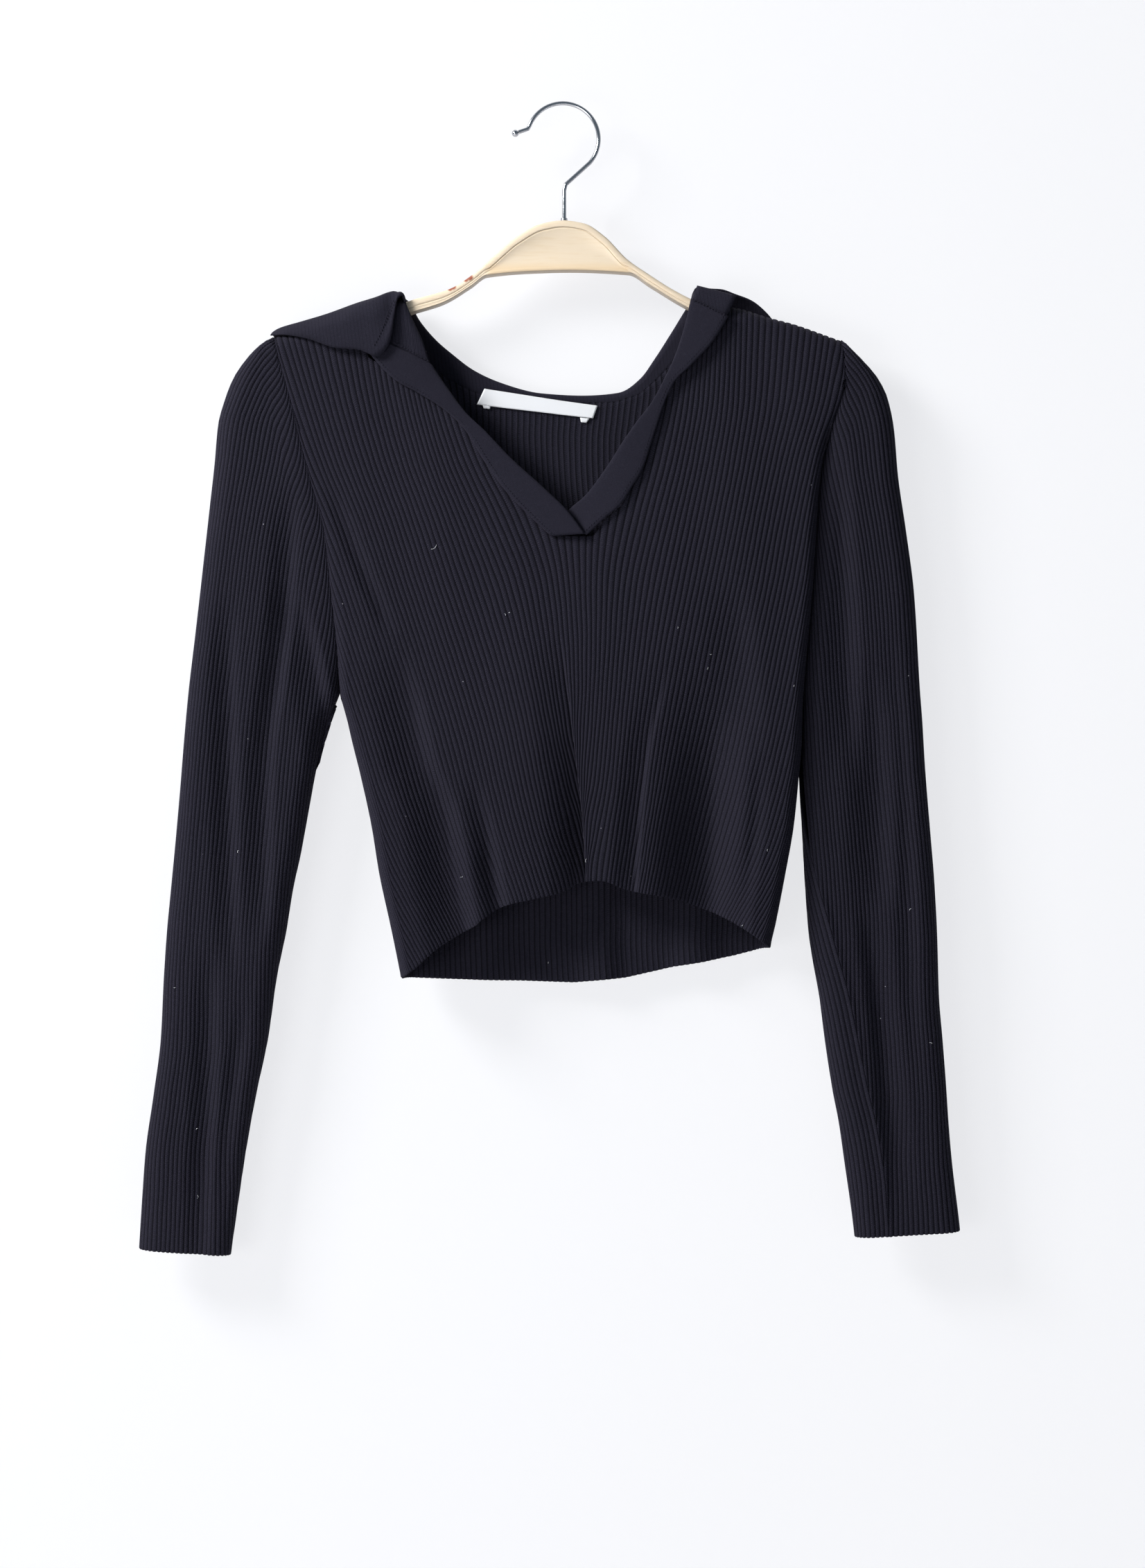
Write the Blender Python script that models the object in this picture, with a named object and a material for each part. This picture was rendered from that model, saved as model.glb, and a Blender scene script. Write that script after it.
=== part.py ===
"""A fine-rib V-neck sweater with an open polo collar, hung on a flat wooden hanger with a wire hook.

Metres, +Z up, front towards -Y. The origin is the inside top of the hook, where a rail carries it.
Tables are in millimetres and are read by smooth curves; "left" and "right" are the viewer's, from the front.
Each cloth panel is a grid: its columns are the wales (the ribs) of the knit, its rows run from hem to seam.
"""
import math

import bmesh
import bpy
import numpy as np
from mathutils import Vector

MM = 0.001
WALL = 2.0             # thickness of the knitted cloth
GAP = 0.3              # gap between two pieces along a seam
HALF_GAP = GAP / 2
TIP_GAP = 0.25         # added to it at the shoulder ends of the armholes, where the walls turn
LAP = 1.2              # how far bands and collar lie over the edge of a panel
LAP_GAP = 0.4          # gap beneath what lies over a panel
CORNER_BODY = 12.0     # how far in the body panels turn towards the side seams
CORNER_SEAM = 9.0      # the same along the armholes
CORNER_SLEEVE = 13.0   # the same along the sleeve's folded edges
SHOULDER_ROUND = 9.0   # height over which the shoulders roll over the hanger
ARMPIT = -382.0
V_POINT = -281.0

# Body edges, from the hem up: height, left edge x, right edge x. Side seams below the armpit, armholes above.
EDGES = [
    (-572, -103.4, 132.2), (-547, -108.4, 134.3), (-531, -111.8, 137.8), (-500, -118.6, 142.5),
    (-468, -123.9, 148.6), (-437, -130.7, 152.2), (-414, -136.5, 154.8), (-395, -141.0, 155.6),
    (-382, -144.6, 156.2), (-355, -145.9, 158.4), (-315, -150.0, 162.0), (-276, -154.5, 164.5),
    (-247, -162.5, 166.5), (-216, -170.5, 171.5), (-202, -173.8, 176.5), (-180, -179.5, 182.5),
    (-165, -183.7, 181.8), (-151, -187.2, 180.0), (-135, -191.5, 178.0), (-115, -197.0, 176.0)]

# Body depths, from the hem up: height, front y, back y, side seam y.
DEPTHS = [
    (-572, -28.0, 13.0, -7.0), (-500, -25.0, 12.0, -5.0), (-440, -21.0, 11.0, -3.0), (-382, -17.0, 10.0, 0.0),
    (-345, -15.8, 10.0, 0.0), (-315, -15.0, 10.0, 0.0), (-276, -14.0, 10.0, 0.0), (-235, -13.0, 10.0, 0.0),
    (-200, -12.3, 10.0, 0.0), (-178, -12.0, 10.0, 0.0), (-115, -12.0, 10.0, 0.0)]
FRONT_Y, BACK_Y, SIDE_Y = range(1, 4)

# Armhole seams, from the armpit up: height, y on the front left, on the front right, on the back.
# On the right the front panel turns over into a deep valley beside the sleeve.
ARMHOLES = [
    (-382, 0.0, 0.0, 0.0), (-376, -3.0, -1.0, 3.0), (-364, -7.5, -1.5, 6.0), (-345, -10.5, -2.0, 8.5),
    (-315, -12.0, -2.5, 9.5), (-276, -12.5, -2.5, 9.5), (-235, -12.3, -3.5, 9.5), (-216, -12.0, -6.5, 9.5),
    (-200, -11.8, -9.5, 9.5), (-178, -11.3, -10.8, 9.5), (-115, -11.3, -10.8, 9.5)]
ARMHOLE_LEFT_Y, ARMHOLE_RIGHT_Y, ARMHOLE_BACK_Y = range(1, 4)
VALLEY_TOP = -200.0    # the valley runs from here down to the armpit

# How far the wales swing away from the V, as a share of the panel's width: height, left half, right half.
SPREAD = [
    (-400, 0.0, 0.0), (-380, 0.0, 0.0), (-340, 0.005, -0.006), (-300, 0.0175, -0.012),
    (-281, 0.025, -0.012), (-250, 0.06, -0.005), (-225, 0.0685, 0.0), (-200, 0.093, 0.006),
    (-181, 0.105, 0.012), (-155, 0.105, 0.01), (-115, 0.105, 0.01)]

# Outlines as x, height. The tops run from the left shoulder tip round the neck to the right one.
FRONT_HEM = [
    (-106.0, -567.0), (-95.0, -559.5), (-80.8, -547.0), (-58.8, -533.4), (-36.8, -519.0), (-18.9, -515.0),
    (-0.9, -511.0), (15.0, -503.5), (24.0, -503.0), (41.3, -509.0), (71.4, -515.0), (91.6, -522.0),
    (107.3, -529.0), (117.6, -535.0), (134.5, -547.0)]
BACK_HEM = [
    (-106.0, -567.0), (-68.9, -568.4), (-28.7, -569.3), (7.2, -570.5), (41.3, -567.3), (71.4, -560.4),
    (91.6, -557.0), (111.4, -553.0), (134.5, -547.0)]
FRONT_TOP = [
    (-187.2, -150.9), (-170.0, -146.4), (-150.0, -141.2), (-133.5, -136.8), (-129.0, -150.0),
    (-125.7, -164.8), (-118.1, -169.7), (-106.2, -180.9), (-92.5, -188.6), (-75.4, -199.8),
    (-62.4, -212.4), (-49.8, -232.6), (-36.8, -251.0), (-22.5, -266.3), (-13.0, -275.7), (-6.7, -281.0),
    (18.0, -281.0), (28.7, -268.5), (37.3, -261.8), (44.5, -249.2), (51.2, -236.2), (57.9, -215.5),
    (64.7, -194.9), (74.0, -176.0), (88.0, -158.0), (100.0, -143.0), (108.0, -131.2), (133.4, -137.8),
    (150.4, -142.3), (167.9, -148.4), (180.0, -152.8)]
BACK_TOP = [
    (-187.2, -150.9), (-150.0, -141.2), (-133.5, -136.8), (-124.0, -140.5), (-113.0, -146.0),
    (-104.0, -152.2), (-92.0, -161.4), (-75.4, -176.6), (-57.9, -185.0), (-35.0, -190.1), (0.0, -192.6), (34.0, -191.5),
    (50.0, -186.2), (62.0, -175.8), (77.0, -159.4), (88.0, -147.8), (98.0, -139.8), (108.0, -131.2),
    (133.4, -137.8),
    (150.4, -142.3), (167.9, -148.4), (180.0, -152.8)]
SHOULDER = [
    (-205.0, -156.0), (-187.2, -150.9), (-150.0, -141.2), (-124.0, -134.4), (-108.0, -128.5), (-60.0, -60.0),
    (60.0, -60.0), (100.0, -128.0), (112.0, -132.2), (133.4, -137.8), (150.4, -142.3), (167.9, -148.4),
    (180.0, -152.8), (200.0, -161.0)]

# Largest folds of the front, as soft troughs: x and height at the top, at the bottom, half width, depth.
FRONT_FOLDS = [
    (0.0, -385.0, 15.0, -512.0, 15.0, 9.5),
    (42.0, -400.0, 39.0, -512.0, 12.0, 4.0),
    (66.0, -430.0, 68.0, -518.0, 18.0, 6.5),
    (-96.0, -455.0, -80.0, -548.0, 15.0, 6.0),
    (-52.0, -490.0, -42.0, -528.0, 14.0, 3.0)]
# Those of the back.
BACK_FOLDS = [
    (-60.0, -330.0, -48.0, -568.0, 22.0, -4.0),
    (20.0, -400.0, 26.0, -570.0, 20.0, -5.0),
    (92.0, -360.0, 84.0, -560.0, 20.0, -4.0)]

# Sleeves, from the cuff up: height, outer edge x, inner edge x, front y, back y.
# Above the armpit the inner edge is the armhole seam.
LEFT_SLEEVE = [
    (-750, -275.6, -216.2, -10.0, 10.0), (-706, -272.8, -209.9, -10.0, 10.0), (-680, -270.9, -206.0, -10.5, 10.5),
    (-644, -265.8, -199.5, -11.0, 11.0), (-606, -260.9, -191.5, -11.5, 11.5), (-567, -259.0, -185.9, -12.0, 12.0),
    (-535, -256.8, -179.4, -12.5, 12.5), (-511, -254.5, -175.6, -13.0, 13.0), (-485, -252.0, -170.0, -13.5, 13.0),
    (-452, -249.0, -164.0, -14.0, 13.0), (-421, -246.5, -158.0, -14.0, 13.0), (-401, -244.8, -152.2, -14.0, 13.0),
    (-382, -243.0, -144.6, -14.0, 13.0), (-337, -237.7, 0.0, -14.0, 13.0), (-268, -229.9, 0.0, -14.0, 12.5),
    (-233, -226.0, 0.0, -13.5, 12.0), (-207, -223.6, 0.0, -13.0, 11.5), (-193, -219.8, 0.0, -12.5, 11.0),
    (-178, -214.0, 0.0, -12.0, 10.5), (-163, -203.5, 0.0, -11.5, 10.0), (-156, -196.0, 0.0, -11.0, 10.0),
    (-150.9, -188.0, 0.0, -11.0, 10.0)]
RIGHT_SLEEVE = [
    (-740, 259.0, 190.2, -10.0, 10.0), (-719, 256.6, 187.7, -10.0, 10.0), (-688, 252.8, 183.2, -10.0, 10.5),
    (-661, 250.4, 179.4, -10.5, 11.0), (-638, 248.9, 174.9, -11.0, 11.5), (-608, 246.6, 170.4, -11.0, 12.0),
    (-579, 244.2, 166.6, -11.5, 12.5), (-539, 243.0, 159.9, -12.0, 13.0), (-502, 241.0, 157.6, -12.0, 13.5),
    (-474, 238.7, 156.6, -12.0, 14.0), (-429, 235.1, 156.0, -12.0, 14.5), (-400, 233.4, 156.2, -12.0, 15.0),
    (-382, 232.0, 156.2, -12.0, 15.0), (-318, 228.1, 0.0, -12.0, 15.0), (-276, 222.7, 0.0, -12.0, 14.5),
    (-241, 217.6, 0.0, -12.0, 13.5), (-210, 214.9, 0.0, -12.0, 12.5), (-190, 210.6, 0.0, -11.5, 12.0),
    (-178, 204.7, 0.0, -11.0, 11.0), (-168, 196.5, 0.0, -11.0, 10.5), (-159, 187.0, 0.0, -11.0, 10.0),
    (-152.8, 181.0, 0.0, -11.0, 10.0)]
OUTER_X, INNER_X, SLEEVE_FRONT_Y, SLEEVE_BACK_Y = range(1, 5)
LEFT_CUFF = (-742.6, -746.7, -2.5)      # height at the outer edge, at the inner edge, how much lower the back is
RIGHT_CUFF = (-731.0, -735.0, -1.5)

# Neck bands, from the V up: outer (seam) x, height, y, then inner (free) x, height, y. They lie on the front.
LEFT_BAND = [
    (-6.7, -281.4, -16.6, 14.4, -280.0, -19.4), (-22.5, -266.3, -16.4, 3.6, -265.4, -18.2),
    (-36.8, -251.0, -16.2, -13.0, -249.2, -17.2), (-49.8, -232.6, -15.8, -33.2, -230.8, -16.4),
    (-62.4, -212.4, -15.4, -49.8, -213.3, -15.8), (-75.4, -199.8, -15.0, -63.0, -200.4, -15.0),
    (-92.5, -188.6, -14.8, -73.0, -187.0, -14.6), (-106.2, -180.9, -14.6, -79.0, -178.5, -14.3),
    (-118.1, -169.9, -14.5, -81.8, -174.2, -14.3), (-125.2, -160.5, -14.5, -83.2, -171.9, -14.3),
    (-128.8, -148.4, -14.5, -84.2, -170.3, -14.3)]
RIGHT_BAND = [
    (18.2, -281.6, -16.6, -4.0, -272.0, -11.0), (28.7, -268.5, -16.5, 5.0, -262.5, -11.8),
    (37.3, -261.8, -16.3, 14.4, -254.6, -13.4), (44.5, -249.2, -16.0, 28.3, -236.2, -14.8),
    (51.2, -236.2, -15.8, 38.0, -221.0, -15.2), (57.9, -215.5, -15.6, 47.0, -208.0, -15.4),
    (64.7, -194.9, -15.8, 57.5, -194.0, -15.6), (71.4, -180.9, -16.4, 65.5, -179.0, -15.8),
    (81.7, -170.6, -17.0, 72.0, -165.0, -15.6), (95.6, -155.4, -17.2, 78.2, -146.0, -15.2),
    (105.8, -139.0, -17.2, 82.5, -127.8, -14.6)]

# The collar. Its points are on the face towards the neck, which shows on the outside where it is turned down.
# Each row goes up from the neck seam: x, y, height. First its left end, which stands up beside the neck.
COLLAR_LEFT = [
    ((-129.0, -12.5, -146.7), (-83.8, -12.3, -169.3)), ((-131.0, -12.4, -145.0), (-90.5, -11.4, -154.6)),
    ((-132.8, -11.8, -141.5), (-97.3, -9.8, -140.0))]
# Then the leaf that is folded out over the left shoulder: seam, fold, and on to the leaf's outer edge.
LEAF = [
    ((-132.8, -9.0, -139.0), (-101.0, -7.2, -131.0), (-101.6, -8.4, -127.8), (-103.4, -10.6, -125.6),
     (-105.6, -13.2, -127.2), (-107.0, -15.4, -132.0), (-108.6, -17.4, -142.0), (-110.2, -18.4, -153.0),
     (-114.5, -18.6, -162.0), (-120.5, -18.2, -165.4), (-131.0, -17.8, -161.4), (-146.0, -16.8, -160.0),
     (-165.0, -15.8, -153.4), (-180.0, -11.8, -150.4), (-190.0, -3.4, -149.6)),
    ((-133.4, -6.0, -137.0), (-102.0, -4.4, -128.6), (-102.8, -5.4, -125.2), (-105.6, -7.6, -123.0),
     (-108.8, -10.4, -124.6), (-112.0, -13.8, -129.6), (-116.0, -17.0, -136.0), (-122.0, -18.4, -141.0),
     (-134.0, -18.2, -144.0), (-150.0, -16.0, -146.6), (-165.0, -14.6, -149.2), (-180.0, -10.8, -148.9),
     (-190.0, -2.4, -149.0)),
    ((-134.0, -3.0, -135.9), (-102.4, -2.6, -128.4), (-103.0, -3.4, -125.4), (-105.6, -4.8, -122.6),
     (-109.2, -6.6, -121.8), (-113.5, -9.2, -123.4), (-120.0, -12.0, -127.0), (-134.0, -14.0, -134.0),
     (-152.0, -12.0, -140.6), (-168.0, -11.2, -144.8), (-182.0, -8.0, -147.0), (-190.1, -1.5, -148.7)),
    ((-134.0, 0.0, -135.6), (-102.6, 0.0, -128.2), (-103.2, -0.6, -125.4), (-105.4, -1.2, -122.9),
     (-109.2, -2.2, -121.2), (-113.5, -3.0, -122.2), (-120.0, -3.6, -124.8), (-133.8, -4.6, -129.2),
     (-152.7, -5.0, -136.2), (-170.0, -4.6, -141.2), (-184.0, -3.6, -145.4), (-190.0, -0.5, -148.4)),
    ((-133.6, 6.0, -136.4), (-102.4, 5.6, -128.4), (-102.8, 5.4, -125.4), (-105.2, 5.0, -122.9),
     (-109.0, 4.6, -121.3), (-113.5, 4.4, -122.4), (-120.0, 4.4, -124.8), (-133.8, 4.4, -129.4),
     (-152.7, 4.4, -136.4), (-170.0, 4.2, -141.4), (-184.0, 3.6, -146.0), (-189.4, 2.4, -148.2)),
    ((-126.0, 10.8, -141.0), (-99.4, 10.8, -131.0), (-99.4, 12.2, -127.6), (-100.8, 14.4, -125.4),
     (-104.0, 16.6, -126.0), (-108.0, 17.6, -128.2), (-118.0, 17.4, -132.0), (-134.0, 17.2, -137.0),
     (-152.0, 17.0, -143.0), (-170.0, 16.4, -150.0), (-184.0, 14.6, -156.4))]
# Then the part round the back of the neck: seam, fold, outer edge.
COLLAR_BACK = [
    ((-113.0, 10.4, -147.0), (-94.5, 13.4, -136.5), (-168.0, 16.8, -177.0)),
    ((-92.0, 10.4, -162.6), (-84.0, 13.4, -149.6), (-146.0, 16.8, -201.0)),
    ((-75.4, 10.4, -177.8), (-71.8, 13.4, -160.3), (-112.0, 16.8, -224.0)),
    ((-57.9, 10.4, -186.2), (-57.9, 13.4, -170.6), (-78.0, 16.8, -238.0)),
    ((-35.0, 10.4, -191.3), (-40.0, 13.4, -178.8), (-46.0, 16.8, -246.0)),
    ((-10.0, 10.4, -193.5), (-14.0, 13.4, -185.5), (-14.0, 16.8, -250.0)),
    ((15.0, 10.4, -193.7), (13.0, 13.4, -187.0), (20.0, 16.8, -250.0)),
    ((36.0, 10.4, -192.2), (36.0, 13.4, -185.2), (56.0, 16.8, -246.0)),
    ((50.0, 10.4, -187.4), (50.0, 13.4, -176.5), (86.0, 16.8, -236.0)),
    ((62.0, 10.4, -177.0), (60.0, 13.4, -163.0), (112.0, 16.8, -218.0)),
    ((77.0, 10.4, -160.6), (69.0, 13.4, -149.0), (132.0, 16.8, -196.0)),
    ((88.0, 10.4, -149.0), (77.0, 13.4, -136.0), (146.0, 16.8, -176.0))]
# Then the part over the right shoulder, as for the leaf, and its right end, which stands up again.
RIGHT_LEAF = [
    ((99.0, 11.8, -140.0), (84.0, 11.0, -129.0), (83.4, 12.8, -125.2), (86.0, 15.4, -123.8), (92.0, 17.0, -125.8),
     (102.0, 17.4, -129.8), (114.0, 17.4, -135.2), (126.0, 17.4, -141.8), (138.0, 17.0, -151.0), (149.0, 16.4, -163.0)),
    ((106.8, 7.4, -131.6), (84.6, 5.6, -126.4), (84.2, 6.4, -122.0), (87.4, 8.0, -119.9), (94.0, 9.6, -121.0),
     (102.4, 10.8, -123.6), (113.5, 12.2, -128.6), (124.5, 13.4, -134.0), (135.8, 14.4, -143.4), (147.0, 15.2, -156.0)),
    ((109.5, -1.0, -128.8), (85.4, 0.0, -123.4), (85.6, 0.4, -119.4), (89.4, 1.2, -117.8), (96.0, 2.4, -118.6),
     (102.4, 3.6, -119.9), (112.7, 6.0, -124.4), (123.0, 8.4, -129.0), (133.4, 10.8, -137.6), (144.0, 13.4, -150.0))]
COLLAR_RIGHT = [
    ((112.0, -11.0, -126.5), (87.0, -7.0, -119.5)), ((106.6, -15.2, -138.4), (83.3, -12.6, -127.2))]
FOLD_RADIUS = 3.0

# Hanger body outline as x, height.
HANGER_TOP = [
    (-180.0, -153.4), (-150.0, -145.6), (-124.0, -139.4), (-112.0, -134.0), (-101.5, -128.4), (-73.0, -119.7),
    (-58.0, -110.2), (-47.6, -100.8), (-30.0, -86.0), (-14.0, -77.6), (0.0, -75.4), (14.0, -77.4), (27.0, -85.6),
    (42.0, -100.8), (56.6, -110.9), (70.0, -119.5), (82.6, -126.2), (97.0, -132.8), (112.0, -137.4),
    (133.0, -142.4), (150.0, -146.8), (173.0, -154.8)]
HANGER_BOTTOM = [
    (-180.0, -162.0), (-150.0, -153.6), (-124.0, -146.8), (-100.6, -136.6), (-77.5, -129.2), (-59.7, -118.6),
    (-49.2, -111.5), (-18.0, -108.8), (4.5, -108.2), (43.0, -109.9), (56.6, -118.0), (79.0, -131.5),
    (97.0, -140.0), (112.0, -144.8), (133.0, -150.4), (150.0, -155.2), (173.0, -162.6)]
HANGER_THICKNESS = 12.0
HANGER_EDGE = 3.8

WIRE = 2.6                     # hook wire diameter
HOOK_RADIUS = 22.0             # inside the hook
HOOK_END_X = -21.6             # where the round part ends and the tip turns out
HOOK_TIP = (-28.7, -17.5)
HOOK_STEM_TOP = (2.2, -51.2)
HOOK_STEM_X = 0.9
HOOK_LEAVES = -42.0            # angle at which the straight part leaves the circle, in degrees
BALL = 4.4                     # diameter of the ball on the hook's tip
FERRULE = (4.6, 2.0)           # diameter and height of the ring where the wire enters the wood

LABEL = [(-51.2, -183.2), (22.7, -194.4), (19.8, -202.5), (-56.1, -193.5)]   # corners as x, height
LABEL_WALL = 1.0

COLOURS = {
    "rib_knit": ((0.016, 0.015, 0.022), 0.9, 0.0), "plain_knit": ((0.019, 0.018, 0.026), 0.85, 0.0),
    "satin": ((0.82, 0.82, 0.82), 0.45, 0.0), "birch": ((0.80, 0.66, 0.47), 0.55, 0.0),
    "chrome": ((0.72, 0.72, 0.74), 0.12, 1.0)}


# ---------- curves through the tables ----------

def curve(table, column, at):
    """The value of a column at any place along a table, on a smooth curve that never overshoots its rows."""
    rows = np.array([[row[0], row[column]] for row in table], float)
    place, value = rows[:, 0], rows[:, 1]
    steps = np.diff(value) / np.diff(place)
    turning = steps[:-1] * steps[1:]
    inner = np.where(turning > 0, 2 * turning / np.where(turning > 0, steps[:-1] + steps[1:], 1.0), 0.0)
    slope = np.concatenate(([steps[0]], inner, [steps[-1]]))
    at = np.clip(at, place[0], place[-1])
    i = np.clip(np.searchsorted(place, at) - 1, 0, len(place) - 2)
    span = place[i + 1] - place[i]
    t = (at - place[i]) / span
    return (value[i] * (1 + 2 * t) * (1 - t) ** 2 + slope[i] * span * t * (1 - t) ** 2
            + value[i + 1] * t * t * (3 - 2 * t) + slope[i + 1] * span * t * t * (t - 1))


def ease(t):
    """0 to 1 with a soft start and end."""
    t = np.clip(t, 0.0, 1.0)
    return t * t * (3 - 2 * t)


def across(share, start, end, start_y, end_y, deep_y, corner):
    """A point at a share of the cloth that runs from one edge to the other and turns a corner at each."""
    towards = np.sign(end - start)
    rise_a, rise_b = np.abs(deep_y - start_y), np.abs(deep_y - end_y)
    turn_a = math.pi / 2 * np.sqrt((corner ** 2 + rise_a ** 2) / 2)
    turn_b = math.pi / 2 * np.sqrt((corner ** 2 + rise_b ** 2) / 2)
    flat = np.abs(end - start) - 2 * corner
    length = turn_a + flat + turn_b
    along = share * length
    angle_a = np.clip(along / turn_a, 0, 1) * math.pi / 2
    angle_b = np.clip((length - along) / turn_b, 0, 1) * math.pi / 2
    x = start + towards * (corner * (1 - np.cos(angle_a)) + np.clip(along - turn_a, 0, flat)
                           + corner * np.cos(angle_b))
    y = (start_y + (deep_y - start_y) * np.sin(angle_a)) + (end_y - deep_y) * (1 - np.sin(angle_b))
    return x, y, length


def folds(table, x, height):
    """The depth of a panel's folds at a place: soft troughs that deepen towards the hem."""
    depth = 0.0
    for x_top, z_top, x_end, z_end, half_width, most in table:
        down = np.clip((z_top - height) / (z_top - z_end), 0, 1.2)
        middle = x_top + (x_end - x_top) * down
        depth = depth + most * ease(down) * ease(1 - np.abs(x - middle) / half_width)
    return depth


# ---------- body panels ----------

def wale_share(u, height):
    """Where a wale lies across the front: wales swing outwards round the V."""
    from_middle = u - 0.5
    pull = np.where(from_middle < 0, -curve(SPREAD, 1, height), curve(SPREAD, 2, height))
    below = np.clip(V_POINT - height, 0, 100) / 100
    free = np.where(height < V_POINT, ease(np.abs(from_middle) / (0.04 + 0.16 * below)), 1.0)
    return u + pull * (1 - 2 * np.abs(from_middle)) * free


def panel_corner(height):
    return CORNER_SEAM + (CORNER_BODY - CORNER_SEAM) * ease((ARMPIT - height) / 30)


def edge_y(is_left, is_front, height):
    """The y of a panel's edge: the side seam below the armpit, the armhole above it."""
    column = ARMHOLE_BACK_Y if not is_front else (ARMHOLE_LEFT_Y if is_left else ARMHOLE_RIGHT_Y)
    side = -HALF_GAP if is_front else HALF_GAP
    return np.where(height > ARMPIT, curve(ARMHOLES, column, height), curve(DEPTHS, SIDE_Y, height)) + side


def panel_section(is_front, height):
    """Edge x, edge y and middle y of a body panel at a height."""
    left = curve(EDGES, 1, height) + HALF_GAP
    right = curve(EDGES, 2, height) - HALF_GAP
    deep_y = curve(DEPTHS, FRONT_Y if is_front else BACK_Y, height)
    return left, right, edge_y(True, is_front, height), edge_y(False, is_front, height), deep_y


def wale_at(is_front, x, height):
    """Which wale passes a point of a panel's outline."""
    left, right, left_y, right_y, deep_y = panel_section(is_front, height)
    shares = np.linspace(0, 1, 401)
    xs, _, _ = across(shares, left, right, left_y, right_y, deep_y, panel_corner(height))
    share = np.interp(x, xs, shares)
    if not is_front:
        return share
    wales = np.linspace(0, 1, 401)
    return np.interp(share, wale_share(wales, height), wales)


def outline(is_front, points, steps=8):
    """A panel's outline as wale against height, with its wales in rising order."""
    wales, heights = [], []
    for (x0, z0), (x1, z1) in zip(points[:-1], points[1:]):
        for step in range(steps):
            t = step / steps
            x, z = x0 + (x1 - x0) * t, z0 + (z1 - z0) * t
            wales.append(wale_at(is_front, x, z))
            heights.append(z)
    wales.append(1.0)
    heights.append(points[-1][1])
    wales[0] = 0.0
    return np.maximum.accumulate(np.array(wales)) + np.arange(len(wales)) * 1e-7, np.array(heights)


ARMPIT_ROW = 0.45      # the row of the panels that meets the armpit
SEAM_TRIM = 0.0008     # what the panels give up along the neck for the gap


def panel_point(is_front, bottom, top, corners, u, v):
    """A point of the front or the back: u counts wales from left to right, v goes from the hem up.

    corners are the wales that end where the shoulders meet the neck.
    """
    low, high = np.interp(u, *bottom), np.interp(u, *top)
    reach_left = (ARMPIT - bottom[1][0]) / (top[1][0] - bottom[1][0])
    reach_right = (ARMPIT - bottom[1][-1]) / (top[1][-1] - bottom[1][-1])
    reach = reach_left + (reach_right - reach_left) * u
    rise = np.where(v < ARMPIT_ROW, reach * v / ARMPIT_ROW,
                    reach + (1 - reach) * (v - ARMPIT_ROW) / (1 - ARMPIT_ROW))
    on_shoulder = (u <= corners[0] + 1e-6) | (u >= corners[1] - 1e-6)
    height = low + (high - low) * rise * np.where(on_shoulder, 1.0, 1 - SEAM_TRIM)
    left, right, left_y, right_y, deep_y = panel_section(is_front, height)
    share = wale_share(u, height) if is_front else u
    x, y, _ = across(share, left, right, left_y, right_y, deep_y, panel_corner(height))
    y = y + folds(FRONT_FOLDS if is_front else BACK_FOLDS, x, height)
    to_shoulder = np.where(on_shoulder, high, curve(SHOULDER, 1, x)) - height
    rolled = np.sqrt(1 - (1 - np.clip(to_shoulder / SHOULDER_ROUND, 0, 1)) ** 2)
    side = -HALF_GAP if is_front else HALF_GAP
    return x, side + (y - side) * rolled, height


def armhole_inwards(is_left, is_front, is_panel, height):
    """The direction of the wall along an armhole: sideways low down, then the same for panel and sleeve."""
    tip = FRONT_TOP[0][1] if is_left else FRONT_TOP[-1][1]
    start = VALLEY_TOP - 22 if is_front and not is_left else ARMPIT
    shared = float(ease((height - start) / 40))
    share = min(1.0, max(0.0, (tip - height) / SHOULDER_ROUND))
    sideways = (1 - shared) * (1.0 if is_left == is_panel else -1.0)
    lean = 0.35 * (1 - share) * shared * (1.0 if is_left else -1.0)
    return sideways + lean, (1.0 if is_front else -1.0) * math.sqrt(share) * shared, (0.98 * share - 1.0) * shared


# ---------- sleeves ----------

def sleeve_section(table, is_left, is_front, height):
    """Outer x, inner x, inner y, middle y and corner of one side of a sleeve at a height."""
    outer = curve(table, OUTER_X, height)
    away = (HALF_GAP + TIP_GAP * ease((height - table[-1][0] + 16) / 8)) * (-1 if is_left else 1)
    below_armpit = [row for row in table if row[0] <= ARMPIT]
    seam_x = curve(EDGES, 1 if is_left else 2, height)
    inner = np.where(height > ARMPIT, seam_x, curve(below_armpit, INNER_X, height)) + away
    inner_y = np.where(height > ARMPIT, edge_y(is_left, is_front, height), 0.0)
    deep_y = curve(table, SLEEVE_FRONT_Y if is_front else SLEEVE_BACK_Y, height)
    tip = table[-1][0]
    rolled = np.sqrt(1 - (1 - np.clip((tip - height) / SHOULDER_ROUND, 0, 1)) ** 2)
    corner = np.minimum(CORNER_SLEEVE, 0.4 * np.abs(inner - outer))
    return outer, inner, inner_y * rolled, deep_y * rolled, corner


def cloth_width(table, is_left, is_front, height):
    outer, inner, inner_y, deep_y, corner = sleeve_section(table, is_left, is_front, height)
    _, _, length = across(0.0, outer, inner, 0.0, inner_y, deep_y, corner)
    return length


def seam_wale(table, is_left, is_front, height):
    """The wale of a sleeve that ends on the armhole seam at a height: 0 underarm, 0.5 at the shoulder."""
    full = cloth_width(table, is_left, is_front, np.array(ARMPIT))
    here = cloth_width(table, is_left, is_front, height)
    tip = table[-1][0]
    share = np.where(height >= tip - 1e-6, 0.0, here / full)
    return np.clip(0.5 * (1 - share), 0.0, 0.5)


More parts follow.
